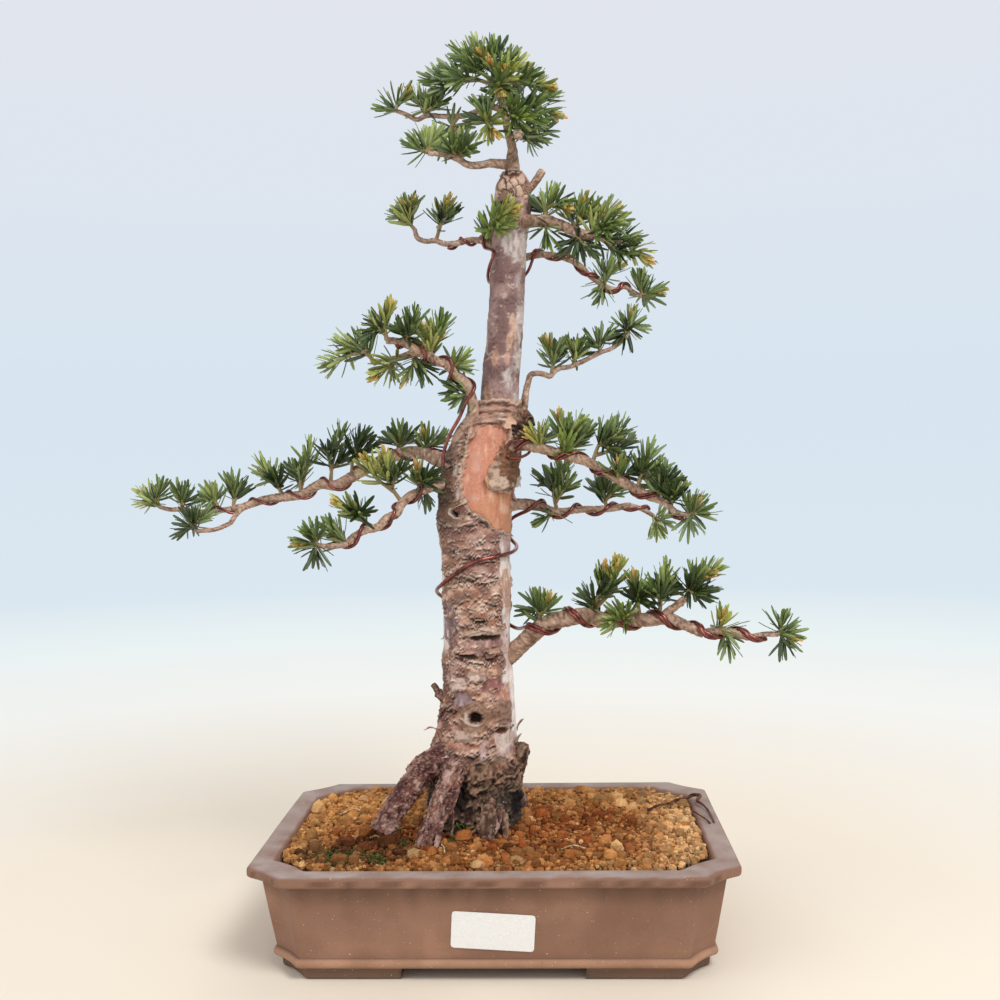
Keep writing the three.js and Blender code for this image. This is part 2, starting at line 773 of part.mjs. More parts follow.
function woodStems() {
  const branches = Object.values(BRANCHES).map((branch) => (
    stretch(branch, 0, branch.woodEnd ?? branch.points.length - 1)
  ));
  return [TRUNK, ...ROOTS_AND_STUBS, ...branches];
}

function makeWood(grow) {
  return woodStems().map((one) => stem(one, grow)).reduce((all, one) => all.add(one));
}

// Wires: helices round the branches, joined by the stretches that cross the trunk
function coilPoints(coil, wireRadius) {
  const branch = BRANCHES[coil.around];
  const curve = path(branch.points);
  const frames = curve.computeFrenetFrames(COIL.samples);
  const steps = Math.round(coil.turns * COIL.stepsATurn);
  const slack = 1 / Math.cos(Math.PI / COIL.stepsATurn);
  const points = [];
  for (let i = 0; i <= steps; i += 1) {
    const u = THREE.MathUtils.lerp(coil.from, coil.to, i / steps);
    const sample = Math.round(u * COIL.samples);
    const angle = 2 * Math.PI * (coil.start + (coil.turns * i) / steps);
    const bare = spread(branch.radii, curve.getUtoTmapping(u));
    const radius = (bare + wireRadius + 2 * GAP) * slack;
    const across = frames.normals[sample].clone().cross(frames.tangents[sample]);
    points.push(curve.getPointAt(u)
      .addScaledVector(frames.normals[sample], radius * Math.cos(angle))
      .addScaledVector(across, radius * Math.sin(angle)));
  }
  return points;
}

function wirePoints(wire) {
  return wire.route.flatMap((leg) => (Array.isArray(leg) ? [vector(leg)] : coilPoints(leg, wire.radius)));
}

function wireTube(wire, grow) {
  const points = wirePoints(wire);
  const section = new THREE.Shape();
  const radius = wire.radius + grow;
  section.absarc(0, 0, radius, 0, 2 * Math.PI);
  const geometry = new THREE.ExtrudeGeometry(section, {
    steps: points.length,
    curveSegments: 2,
    bevelEnabled: false,
    extrudePath: new THREE.CatmullRomCurve3(points, false, "centripetal"),
  });
  return solid(geometry);
}

// A twig is a thin three-sided stem. It twists in its last whorls, where every flat side
// carries a needle, a long three-sided point raised from half of that side, and one
// more needle closes its end. Its bare part has a ring at each of the given heights.
function twigRings({ curve, bareHeights, radii, roll }) {
  const length = curve.getLength();
  const whorls = NEEDLE.tilts.length;
  const bare = bareHeights[bareHeights.length - 1] + SHOOT.firstBand;
  const start = Math.max(length - SHOOT.whorl * whorls, bare);
  const heights = [...bareHeights];
  for (let i = 0; i <= whorls; i += 1) {
    heights.push(THREE.MathUtils.lerp(start, length, i / whorls));
  }
  return heights.map((height, ring) => {
    const u = height / length;
    const axis = curve.getTangentAt(u);
    const turn = new THREE.Quaternion().setFromUnitVectors(new THREE.Vector3(0, 0, 1), axis);
    const twist = roll + SHOOT.twist * Math.max(ring - bareHeights.length, 0);
    const radius = spread(radii, u);
    const corners = [0, 1, 2].map((corner) => {
      const angle = twist + (corner * 2 * Math.PI) / 3;
      const point = new THREE.Vector3(radius * Math.cos(angle), radius * Math.sin(angle), 0);
      return point.applyQuaternion(turn).add(curve.getPointAt(u));
    });
    return { corners, axis, centre: curve.getPointAt(u), height };
  });
}

// Where a shoot is rooted: the middle of the stem, on the straight line between two rings
function rootOn(rings, height) {
  const after = rings.findIndex((ring, i) => i > 0 && ring.height >= height);
  const [low, high] = [rings[after - 1], rings[after]];
  return low.centre.clone().lerp(high.centre, (height - low.height) / (high.height - low.height));
}

// Point of the needle that stands on three corners, or nothing where it has no room
function needlePoint(corners, { axis, centre }, tilt, length, twig, room) {
  const root = corners[0].clone().add(corners[1]).add(corners[2]).divideScalar(3);
  const away = root.clone().sub(centre);
  away.addScaledVector(axis, -away.dot(axis)).normalize();
  for (const turn of NEEDLE.turns) {
    const out = axis.clone().multiplyScalar(Math.cos(tilt + turn));
    out.addScaledVector(away, Math.sin(tilt + turn));
    const point = root.clone().addScaledVector(out, length);
    if (room.isFree(twig, root, point, NEEDLE.reach)) {
      room.add(twig, root, point, NEEDLE.reach);
      return point;
    }
  }
  return null;
}

function makeTwig(twig, seed, room) {
  const rings = twigRings(twig);
  const last = rings.length - 1;
  const faces = [[rings[0].corners[2], rings[0].corners[1], rings[0].corners[0]]];
  const grow = (corners, ring, tilt, length) => {
    const point = needlePoint(corners, ring, tilt, length, twig, room);
    if (!point) faces.push(corners);
    else corners.forEach((corner, i) => faces.push([corner, corners[(i + 1) % 3], point]));
  };
  for (let ring = 0; ring < last; ring += 1) {
    const [low, high] = [rings[ring].corners, rings[ring + 1].corners];
    for (let side = 0; side < 3; side += 1) {
      const next = (side + 1) % 3;
      const corners = [low[side], low[next], high[next]];
      const draw = hash(seed + ring * 3 + side);
      faces.push([low[side], high[next], high[side]]);
      if (ring < twig.bareHeights.length) faces.push(corners);
      else {
        const tilt = NEEDLE.tilts[last - 1 - ring] + NEEDLE.tiltSpread * (draw - 0.5);
        const length = THREE.MathUtils.lerp(NEEDLE.short, NEEDLE.long, draw);
        grow(corners, rings[ring], tilt, length);
      }
    }
  }
  grow(rings[last].corners, { axis: rings[last].axis, centre: rings[0].centre }, 0, NEEDLE.bud);
  return solid(new THREE.BufferGeometry().setFromPoints(faces.flat()));
}

// Room keeping: each solid is known by thick line pieces, so that needles keep clear
class Room {
  constructor() {
    this.lines = [];
  }

  add({ spray, name }, from, to, radius) {
    this.lines.push({ spray, name, line: new THREE.Line3(from.clone(), to.clone()), radius });
  }

  addPath(owner, curve, radiusAt, pieces) {
    for (let i = 0; i < pieces; i += 1) {
      const radius = Math.max(radiusAt(i / pieces), radiusAt((i + 1) / pieces));
      this.add(owner, curve.getPointAt(i / pieces), curve.getPointAt((i + 1) / pieces), radius);
    }
  }

  // Clear of all that is no part of the same spray
  isOutside(ownSpray, point, radius) {
    const nearest = new THREE.Vector3();
    return this.lines.every(({ spray, line, radius: otherRadius }) => {
      line.closestPointToPoint(point, true, nearest);
      return spray === ownSpray || nearest.distanceTo(point) > radius + otherRadius;
    });
  }

  // Clear of every other solid and twig, and of what lies past the root on its own twig
  isFree(owner, from, to, radius) {
    const whole = new THREE.Line3(from, to);
    const outer = new THREE.Line3(from.clone().lerp(to, NEEDLE.rooted), to);
    return this.lines.every(({ spray, name, line, radius: otherRadius }) => {
      const limit = otherRadius + radius + (spray === owner.spray ? 0 : 2 * GAP);
      return (name === owner.name ? outer : whole).distanceSqToLine3(line) > limit * limit;
    });
  }
}

function sprayStem(spray) {
  if (!spray.branch) return { points: spray.stem, radii: STEM.radii };
  const branch = BRANCHES[spray.branch];
  const outer = stretch(branch, branch.woodEnd, branch.points.length - 1);
  return { points: [...outer.points, ...spray.stem], radii: [...outer.radii, STEM.tip] };
}

// Each shoot leaves the stem a little before the place nearest to its tip, outside the
// bare wood, and is bent aside where it would cross another piece
function twigsOf(spray, room) {
  const { points, radii } = sprayStem(spray);
  const curve = path(points);
  const length = curve.getLength();
  const owner = { spray: spray.name, name: spray.name };
  const places = Array.from({ length: STEM.places + 1 }, (_, i) => i / STEM.places);
  const outside = places.find((u) => room.isOutside(owner.spray, curve.getPointAt(u), STEM.clear)) ?? 0.5;
  const last = Math.max(outside, 1 - STEM.leafy / length);
  const pieces = Math.max(1, Math.round((length * last) / STEM.ring));
  const bareHeights = Array.from({ length: pieces }, (_, i) => (length * last * i) / pieces);
  const stemTwig = { ...owner, curve, bareHeights, radii, roll: STEM.roll };
  const rings = twigRings(stemTwig);
  const shoots = spray.tips.map((tip, i) => {
    const aim = vector(tip);
    const apart = (u) => curve.getPointAt(u).distanceTo(aim);
    const nearest = places.reduce((best, u) => (apart(u) < apart(best) ? u : best));
    const back = nearest - (SHOOT.lead * apart(nearest)) / length;
    const from = rootOn(rings, THREE.MathUtils.clamp(back, outside, last) * length);
    const start = from.clone().lerp(aim, SHOOT.rooted);
    const shoot = { spray: spray.name, name: `${spray.name}_${i}` };
    const to = bentTips(from, aim).find((end) => room.isFree(shoot, start, end, SHOOT.radius)) ?? aim;
    room.add(shoot, from, to, SHOOT.radius);
    const roll = 2 * Math.PI * hash(aim.x + aim.z);
    return { ...shoot, curve: new THREE.LineCurve3(from, to), bareHeights: [0], radii: SHOOT.radii, roll };
  });
  return [stemTwig, ...shoots];
}

function bentTips(from, aim) {
  const along = aim.clone().sub(from).normalize();
  const first = along.clone().cross(new THREE.Vector3(0.31, 0.22, 0.92)).normalize();
  const second = along.clone().cross(first);
  return SHOOT.bends.flatMap((bend) => [0, 1, 2, 3, 4, 5].map((i) => {
    const turn = (i * Math.PI) / 3;
    return aim.clone()
      .addScaledVector(first, bend * Math.cos(turn))
      .addScaledVector(second, bend * Math.sin(turn));
  }));
}

function makeSpray(twigs, seed, neighbours, room) {
  return twigs
    .map((twig, i) => makeTwig(twig, seed * 61 + i * 19, room))
    .reduce((body, twig) => body.add(twig))
    .subtract(neighbours);
}

// Assembly
const tree = new THREE.Group();
tree.name = "japanese_yew_bonsai";

const wood = makeWood(0);
const thickWood = makeWood(GAP);
tree.add(meshOf("pot", makePot(), COLORS.clay));
tree.add(meshOf("soil", makeSoil(thickWood), COLORS.soil));
tree.add(meshOf("wood", largestBody(wood), COLORS.bark));
tree.add(meshOf("blank_label", makeLabel(), COLORS.paper));

const room = new Room();
for (const one of woodStems()) {
  const curve = path(one.points);
  const radiusAt = (u) => spread(one.radii, curve.getUtoTmapping(u)) * (1 + (one.relief ?? 0));
  room.addPath({ name: "wood" }, curve, radiusAt, one.rings * 2);
}

let neighbours = thickWood;
for (const wire of WIRES) {
  const body = largestBody(wireTube(wire, 0).subtract(thickWood));
  tree.add(meshOf(wire.name, body, COLORS.wire));
  neighbours = neighbours.add(wireTube(wire, GAP));
  const curve = new THREE.CatmullRomCurve3(wirePoints(wire), false, "centripetal");
  room.addPath({ name: wire.name }, curve, () => wire.radius, wirePoints(wire).length);
}

for (const spray of SPRAYS) {
  const { points, radii } = sprayStem(spray);
  const curve = path(points);
  const owner = { spray: spray.name, name: spray.name };
  room.addPath(owner, curve, (u) => spread(radii, curve.getUtoTmapping(u)), 4 * points.length);
}
const sprayTwigs = SPRAYS.map((spray) => twigsOf(spray, room));
SPRAYS.forEach((spray, i) => {
  const body = makeSpray(sprayTwigs[i], i + 1, neighbours, room);
  tree.add(meshOf(spray.name, largestBody(body), COLORS.needles));
});

// The origin is the middle of the bottom of the whole object's box
const bounds = new THREE.Box3().setFromObject(tree);
const centre = bounds.getCenter(new THREE.Vector3());
for (const mesh of tree.children) mesh.geometry.translate(-centre.x, -centre.y, -bounds.min.z);

export default tree;
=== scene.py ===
"""A japanese yew bonsai in a shallow clay pot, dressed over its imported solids.

Sizes are in millimetres in the pot's own frame: the origin is the middle under the
pot's body, X runs to the right, Y away from the viewer and Z up. Every surface is
worked out there as whole arrays and then put into the shared frame, in metres.
"""
import itertools
import logging
import math
from collections.abc import Callable
from dataclasses import dataclass, field
from enum import Enum

import bmesh
import bpy
import numpy as np
from mathutils import Matrix, Vector


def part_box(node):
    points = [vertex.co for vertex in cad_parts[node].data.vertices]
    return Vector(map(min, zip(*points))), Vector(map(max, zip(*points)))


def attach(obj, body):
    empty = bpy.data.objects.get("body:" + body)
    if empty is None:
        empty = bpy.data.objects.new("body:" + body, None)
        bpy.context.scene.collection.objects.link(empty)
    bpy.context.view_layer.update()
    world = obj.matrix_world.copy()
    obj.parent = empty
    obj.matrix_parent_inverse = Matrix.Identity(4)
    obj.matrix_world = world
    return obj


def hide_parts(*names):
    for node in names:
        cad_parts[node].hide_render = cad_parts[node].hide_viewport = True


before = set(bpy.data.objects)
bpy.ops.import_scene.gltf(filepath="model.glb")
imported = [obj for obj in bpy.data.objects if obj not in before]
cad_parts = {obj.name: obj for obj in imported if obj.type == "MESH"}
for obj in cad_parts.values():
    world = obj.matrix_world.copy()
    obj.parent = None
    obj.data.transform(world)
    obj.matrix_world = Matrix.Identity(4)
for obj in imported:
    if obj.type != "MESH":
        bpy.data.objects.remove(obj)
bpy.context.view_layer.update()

Array = np.ndarray
Pair = tuple[Array, Array]
Draws = np.random.Generator
Socket = bpy.types.NodeSocket
Material = bpy.types.Material

LOG = logging.getLogger("bonsai")
MM = 0.001
SEED = 20
FOOT_DEPTH = 1.5
COAT = "tint"
TAU = 2 * math.pi
GOLDEN_TURN = math.pi * (3 - math.sqrt(5))


def pot_origin() -> Array:
    """The pot frame's origin in the shared frame: under the pot's middle, above the feet's undersides."""
    low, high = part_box("pot")
    return np.array([(low.x + high.x) / 2, (low.y + high.y) / 2, low.z]) / MM + (0, 0, FOOT_DEPTH)


ORIGIN = pot_origin()


# Numbers and colours


def colour(code: str) -> Array:
    """The linear red, green and blue of a colour written as six hex digits."""
    parts = np.array([int(code[i:i + 2], 16) for i in (0, 2, 4)]) / 255
    return np.where(parts <= 0.04045, parts / 12.92, ((parts + 0.055) / 1.055) ** 2.4)


def ease(low: float, high: float, values: Array) -> Array:
    """Runs smoothly from 0 at low to 1 at high: 3t^2 - 2t^3 of the clamped way between them."""
    way = np.clip((values - low) / (high - low), 0, 1)
    return way * way * (3 - 2 * way)


def blend(first: Array, second: Array, share: Array) -> Array:
    """The straight mix of two colours or arrays of them, with the second's share."""
    return first + (second - first) * np.asarray(share)[..., None]


def between(first: str, second: str, share: Array) -> Array:
    """The straight mix of two colours written as hex digits, with the second's share."""
    return blend(colour(first), colour(second), share)


def painted(tint: Array, *coats: tuple[str | Array, Array | float]) -> Array:
    """The tint with coats laid over it in order, each a colour and its share.

    Args:
        tint: the colours to start from.
        coats: pairs of a colour, as hex digits or an array, and its share, the lowest first.

    Returns:
        The colours with all the coats on.
    """
    for paint, share in coats:
        tint = blend(tint, colour(paint) if isinstance(paint, str) else paint, share)
    return tint


def xyz(x: Array | float, y: Array | float, z: Array | float) -> Array:
    """Points or vectors from their three numbers, which are arrays or single values."""
    return np.stack(np.broadcast_arrays(x, y, z), axis=-1)


def unit(vectors: Array) -> Array:
    """The vectors at length one."""
    return vectors / np.maximum(np.linalg.norm(vectors, axis=-1, keepdims=True), 1e-9)


def sampled(place: Array, known: Array, values: Array) -> Array:
    """Every column of the values, read at places between the known ones."""
    return np.stack([np.interp(place, known, column) for column in values.T], axis=-1)


def lattice_draw(cells: Array, seed: int) -> Array:
    """An even draw from 0 to 1 for each whole-numbered cell.

    The cell's three numbers are multiplied by odd factors and their bits folded over.

    Args:
        cells: whole numbers, with three on the last axis.
        seed: picks another set of draws.

    Returns:
        One draw for each cell.
    """
    keys = cells.astype(np.int64).astype(np.uint32)
    mixed = np.full(cells.shape[:-1], (seed * 0x9E3779B1 + 0x7F4A7C15) & 0xFFFFFFFF, np.uint32)
    for axis, factor in enumerate((0x85EBCA6B, 0xC2B2AE35, 0x27D4EB2F)):
        mixed = (mixed ^ keys[..., axis]) * np.uint32(factor)
        mixed = mixed ^ (mixed >> np.uint32(15))
    mixed = mixed * np.uint32(0x2C1B3C6D)
    mixed = mixed ^ (mixed >> np.uint32(13))
    return mixed / 2.0**32


def noise(points: Array, size: float, seed: int = 0, rise: float = 1) -> Array:
    """Smooth noise from -1 to 1 with bumps of about the given size.

    Draws on the eight corners of each lattice cell are mixed by eased fractions. Heights
    count rise times, so the bumps are tall where that is below one.

    Args:
        points: places to look at, with three numbers on the last axis.
        size: the bumps' size.
        seed: picks another set of draws.
        rise: how many times heights count.

    Returns:
        One value for each place.
    """
    place = points * (1, 1, rise) / size
    floor = np.floor(place)
    part = place - floor
    part = part * part * (3 - 2 * part)
    total = np.zeros(points.shape[:-1])
    for corner in np.ndindex(2, 2, 2):
        weight = np.prod(np.where(np.array(corner) == 1, part, 1 - part), axis=-1)
        total += weight * lattice_draw(floor + corner, seed)
    return 2 * total - 1


def layered_noise(points: Array, size: float, seed: int = 0, layers: int = 3) -> Array:
    """Noise with finer noise on it, each layer half as large and half as strong."""
    return sum(noise(points, size / 2**i, seed + i) / 2**i for i in range(layers))


def noise_vectors(points: Array, size: float, seed: int) -> Array:
    """Three independent noises, as vectors."""
    return np.stack([noise(points, size, seed + 17 * i) for i in range(3)], axis=-1)


@dataclass
class Cells:
    """What cell noise says of each point: how far inside its cell it is, and the cell's draw."""

    inside: Array
    draw: Array


def cell_noise(points: Array, size: tuple[float, float, float], seed: int) -> Cells:
    """Cells round seeds that are scattered one to a lattice box.

    The distances to the nearest and second nearest seed are found among 27 boxes, and
    their difference is nought on a border and grows inwards.

    Args:
        points: places to look at, with three numbers on the last axis.
        size: the boxes' three sides.
        seed: picks another set of cells.

    Returns:
        The cells' values for each point.
    """
    place = points / np.array(size)
    home = np.floor(place)
    nearest = np.full(place.shape[:-1], 9.0)
    second = nearest.copy()
    draw = np.zeros_like(nearest)
    for step in np.ndindex(3, 3, 3):
        box = home + np.array(step) - 1
        jitter = np.stack([lattice_draw(box, seed + 31 * axis) for axis in range(3)], axis=-1)
        distance = np.linalg.norm(place - box - jitter, axis=-1)
        closer = distance < nearest
        second = np.where(closer, nearest, np.minimum(second, distance))
        nearest = np.where(closer, distance, nearest)
        draw = np.where(closer, lattice_draw(box, seed + 977), draw)
    return Cells(second - nearest, draw)


# Shapes


@dataclass
class Shape:
    """A surface in millimetres: points, a tint for each, and faces of four and three corners."""

    points: Array
    tint: Array
    quads: Array = field(default_factory=lambda: np.empty((0, 4), int))
    triangles: Array = field(default_factory=lambda: np.empty((0, 3), int))

    def __post_init__(self) -> None:
        """Lays grids of points, tints and faces out as plain rows."""
        self.points, self.tint = self.points.reshape(-1, 3), self.tint.reshape(-1, 3)
        self.quads, self.triangles = self.quads.reshape(-1, 4), self.triangles.reshape(-1, 3)


def joined(shapes: list[Shape]) -> Shape:
    """All the shapes as one, with their faces renumbered.

    Args:
        shapes: the shapes, in order.

    Returns:
        One shape with all their faces.
    """
    starts = np.cumsum([0] + [len(one.points) for one in shapes[:-1]])
    return Shape(*(np.concatenate(parts) for parts in zip(*(
        (one.points, one.tint, one.quads + start, one.triangles + start)
        for one, start in zip(shapes, starts)))))


def grid_quads(rows: int, columns: int, wrapped: bool = True) -> Array:
    """Faces of a grid of points, anticlockwise where rows rise and columns run anticlockwise.

    Args:
        rows: how many rows of points there are.
        columns: how many points a row has.
        wrapped: whether the last column joins the first.

    Returns:
        Four corner numbers for each face.
    """
    row = np.arange(rows - 1)[:, None]
    column = np.arange(columns if wrapped else columns - 1)[None, :]
    following = (column + 1) % columns
    corners = (row * columns + column, row * columns + following,
               (row + 1) * columns + following, (row + 1) * columns + column)
    return np.stack(corners, axis=-1).reshape(-1, 4)


def slab_quads(rows: int, columns: int) -> Array:
    """Faces of a slab: a grid, a second one behind it, and a rim that joins their edges.

    Args:
        rows: how many rows of points there are.
        columns: how many points a row has.

    Returns:
        Four corner numbers for each face.
    """
    size = rows * columns
    face = grid_quads(rows, columns, wrapped=False)
    edge = np.concatenate([np.arange(columns), columns * np.arange(1, rows) + columns - 1,
                           size - 2 - np.arange(columns - 1), columns * np.arange(rows - 2, 0, -1)])
    ahead = np.roll(edge, -1)
    rim = np.stack([edge, edge + size, ahead + size, ahead], axis=1)
    return np.concatenate([face, face[:, ::-1] + size, rim])


def closed_rings(grid: Array, tint: Array, bulge: float = 0.0) -> Shape:
    """A tube through rings of points, closed by a point at the middle of each end.

    Args:
        grid: rows by columns of points.
        tint: a tint for each of them.
        bulge: how far the end points stand out along the tube.

    Returns:
        The closed shape.
    """
    rows, columns = grid.shape[:2]
    middles = grid.mean(axis=1)
    first = middles[0] + bulge * unit(middles[0] - middles[1])
    last = middles[-1] + bulge * unit(middles[-1] - middles[-2])
    points = np.concatenate([grid.reshape(-1, 3), first[None], last[None]])
    tints = np.concatenate([tint.reshape(-1, 3), tint[[0, -1]].mean(axis=1)])
    column = np.arange(columns)
    following = (column + 1) % columns
    start, top = rows * columns, (rows - 1) * columns
    caps = [np.stack([np.full(columns, start), following, column], axis=1),
            np.stack([np.full(columns, start + 1), top + column, top + following], axis=1)]
    return Shape(points, tints, grid_quads(rows, columns), np.concatenate(caps))


@dataclass
class Line:
    """A smooth line at even steps, with a frame that doesn't twist at each of its points."""

    points: Array
    tangents: Array
    normals: Array
    way: Array

    @property
    def across(self) -> Array:
        """The third direction of the frames."""
        return np.cross(self.tangents, self.normals)

    @property
    def length(self) -> float:
        """The line's length."""
        return float(np.linalg.norm(np.diff(self.points, axis=0), axis=1).sum())

    def widths(self, radii: tuple[float, ...]) -> Array:
        """Radii at the line's points, from values spread evenly over its control points."""
        return np.interp(self.way, np.linspace(0, 1, len(radii)), radii)


def spline(points: Array, way: Array) -> Array:
    """A centripetal Catmull-Rom curve through the points.

    Each stretch is a cubic whose end slopes come from the neighbours at parameter steps
    that are the square roots of the distances.

    Args:
        points: the points that it goes through.
        way: shares of the way from 0 to 1.

    Returns:
        A point for each share.
    """
    ends = np.concatenate([[2 * points[0] - points[1]], points, [2 * points[-1] - points[-2]]])
    place = way * (len(points) - 1)
    index = np.minimum(place.astype(int), len(points) - 2)
    part = (place - index)[:, None]
    p0, p1, p2, p3 = (ends[index + i] for i in range(4))
    d0, d1, d2 = (np.linalg.norm(gap, axis=1)[:, None] ** 0.5 for gap in (p1 - p0, p2 - p1, p3 - p2))
    slope1 = ((p1 - p0) / d0 - (p2 - p0) / (d0 + d1) + (p2 - p1) / d1) * d1
    slope2 = ((p2 - p1) / d1 - (p3 - p1) / (d1 + d2) + (p3 - p2) / d2) * d1
    square, cube = part**2, part**3
    return ((2 * cube - 3 * square + 1) * p1 + (cube - 2 * square + part) * slope1
            + (3 * square - 2 * cube) * p2 + (cube - square) * slope2)


def carried_normals(tangents: Array) -> Array:
    """Normals that are carried along: each is the one before, laid square to the new tangent.

    The first one lies square to the tangent and to the axis that the tangent has least of.

    Args:
        tangents: unit tangents along a line.

    Returns:
        A unit normal for each of them.
    """
    first = tangents[0]
    least = np.eye(3)[2 - int(np.argmin(np.abs(first)[::-1]))]
    normal = unit(np.cross(first, np.cross(first, least)))
    normals = []
    for tangent in tangents:
        normal = unit(normal - tangent * (normal @ tangent))
        normals.append(normal)
    return np.array(normals)


def smooth_line(points: tuple | Array, step: float) -> Line:
    """A smooth line through the points, cut at even lengths near the given step.

    Args:
        points: the points that it goes through.
        step: the length wanted between its own points.

    Returns:
        The line.
    """
    control = np.array(points, float)
    dense = np.linspace(0, 1, 40 * (len(control) - 1) + 1)
    curve = spline(control, dense)
    run = np.concatenate([[0], np.cumsum(np.linalg.norm(np.diff(curve, axis=0), axis=1))])
    count = max(3, round(run[-1] / step) + 1)
    way = np.interp(np.linspace(0, run[-1], count), run, dense)
    even = spline(control, way)
    tangents = unit(np.gradient(even, axis=0))
    return Line(even, tangents, carried_normals(tangents), way)


def part_of(points: tuple, radii: tuple, first: int, last: int) -> Pair:
    """The points of a branch from one index to another, with the radii that it has there.

    Args:
        points: the whole branch's points.
        radii: its radii, spread evenly over them.
        first: number of the first point taken.
        last: number of the last one.

    Returns:
        The points taken and a radius for each.
    """
    places = np.linspace(first, last, max(2, last - first + 1)) / (len(points) - 1)
    widths = np.interp(places, np.linspace(0, 1, len(radii)), radii)
    return np.array(points[first:last + 1], float), widths


def tube(line: Line, radii: Array, sides: int,
         dress: Callable[[Array], Pair], end: float = 0.3) -> Shape:
    """A limb: rings round a line, pushed out by a relief and coloured.

    Args:
        line: the middle of the limb.
        radii: its radius at each point of the line.
        sides: points in a ring.
        dress: gives the relief and the tint of places on the limb as if it stood straight.
        end: how far the ends bulge, as a share of the last radius.

    Returns:
        The closed limb.
    """
    angle = np.linspace(0, TAU, sides, endpoint=False)[None, :]
    cosine, sine = np.cos(angle)[..., None], np.sin(angle)[..., None]
    outward = cosine * line.normals[:, None] + sine * line.across[:, None]
    bare = line.points[:, None] + outward * radii[:, None, None]
    run = np.linspace(0, line.length, len(radii))[:, None, None] + 0 * cosine
    straight = np.concatenate([radii[:, None, None] * cosine, radii[:, None, None] * sine, run], axis=-1)
    relief, tint = dress(straight + line.points[0])
    return closed_rings(bare + outward * relief[..., None], tint, bulge=float(radii[-1]) * end)


# Materials


class Nodes:
    """A small helper that lays out the nodes of one material."""

    def __init__(self, name: str) -> None:
        """Starts a material with its shader and a place that reads object coordinates.

        Args:
            name: the material's name.
        """
        self.material = bpy.data.materials.new(name)
        self.material.use_nodes = True
        self.tree = self.material.node_tree
        self.shader = self.tree.nodes["Principled BSDF"]
        self.place = self.tree.nodes.new("ShaderNodeTexCoord").outputs["Object"]

    def link(self, source: Socket, target: Socket) -> None:
        """Joins an output to an input."""
        self.tree.links.new(source, target)

    def tint(self) -> Socket:
        """The colour that the mesh holds at its points.

        Returns:
            The colour.
        """
        node = self.tree.nodes.new("ShaderNodeAttribute")
        node.attribute_name = COAT
        return node.outputs["Color"]

    def grain(self, size: float, detail: float = 4, stretch: tuple = (1, 1, 1)) -> Socket:
        """Noise from 0 to 1 whose bumps have the given size in millimetres.

        Args:
            size: the bumps' size.
            detail: how many finer layers lie on them.
            stretch: how many times each direction counts.

        Returns:
            The noise.
        """
        mapping = self.tree.nodes.new("ShaderNodeMapping")
        mapping.inputs["Scale"].default_value = stretch
        self.link(self.place, mapping.inputs["Vector"])
        node = self.tree.nodes.new("ShaderNodeTexNoise")
        node.inputs["Scale"].default_value = 1 / (size * MM)
        node.inputs["Detail"].default_value = detail
        self.link(mapping.outputs["Vector"], node.inputs["Vector"])
        return node.outputs["Fac"]

    def window(self, source: Socket, low: float, high: float,
               bottom: float = 0, top: float = 1) -> Socket:
        """Maps low..high of the source to bottom..top and holds it there.

        Args:
            source: the value to map.
            low: where the window starts.
            high: where it ends.
            bottom: the result at its start.
            top: the result at its end.

        Returns:
            The mapped value.
        """
        node = self.tree.nodes.new("ShaderNodeMapRange")
        for name, value in (("From Min", low), ("From Max", high), ("To Min", bottom), ("To Max", top)):
            node.inputs[name].default_value = value
        self.link(source, node.inputs["Value"])
        return node.outputs["Result"]

    def mix(self, share: Socket, first: Socket | Array,
            second: Array) -> Socket:
        """Mixes two colours, the first of which may be a socket, by the second's share.

        Args:
            share: the second colour's share.
            first: the colour below.
            second: the colour mixed in.

        Returns:
            The mixed colour.
        """
        node = self.tree.nodes.new("ShaderNodeMix")
        node.data_type = "RGBA"
        self.link(share, node.inputs[0])
        if isinstance(first, Socket):
            self.link(first, node.inputs[6])
        else:
            node.inputs[6].default_value = (*first, 1)
        node.inputs[7].default_value = (*second, 1)
        return node.outputs[2]

    def scaled(self, tint: Socket, amount: Socket) -> Socket:
        """A colour made lighter or darker by an amount.

        Args:
            tint: the colour.
            amount: what it is multiplied by.

        Returns:
            The new colour.
        """
        node = self.tree.nodes.new("ShaderNodeVectorMath")
        node.operation = "SCALE"
        self.link(tint, node.inputs[0])
        self.link(amount, node.inputs["Scale"])
        return node.outputs["Vector"]

    def bump(self, height: Socket, depth: float,
             under: Socket | None = None) -> Socket:
        """A bump of the given depth in millimetres, on top of another one if given.

        Args:
            height: the relief from 0 to 1.
            depth: how far 1 stands out.
            under: the bump below it.

        Returns:
            The bumped normal.
        """
        node = self.tree.nodes.new("ShaderNodeBump")
        node.inputs["Distance"].default_value = depth * MM
        self.link(height, node.inputs["Height"])
        if under is not None:
            self.link(under, node.inputs["Normal"])
        return node.outputs["Normal"]

    def finished(self, sockets: dict[str, Socket],
                 constants: dict[str, float]) -> Material:
        """The material, with these outputs joined to its shader's inputs and these constants set.

        Args:
            sockets: outputs by the names of the shader's inputs.
            constants: values by their names.

        Returns:
            The material.
        """
        for name, socket in sockets.items():
            self.link(socket, self.shader.inputs[name])
        for name, value in constants.items():
            self.shader.inputs[name].default_value = value
        return self.material


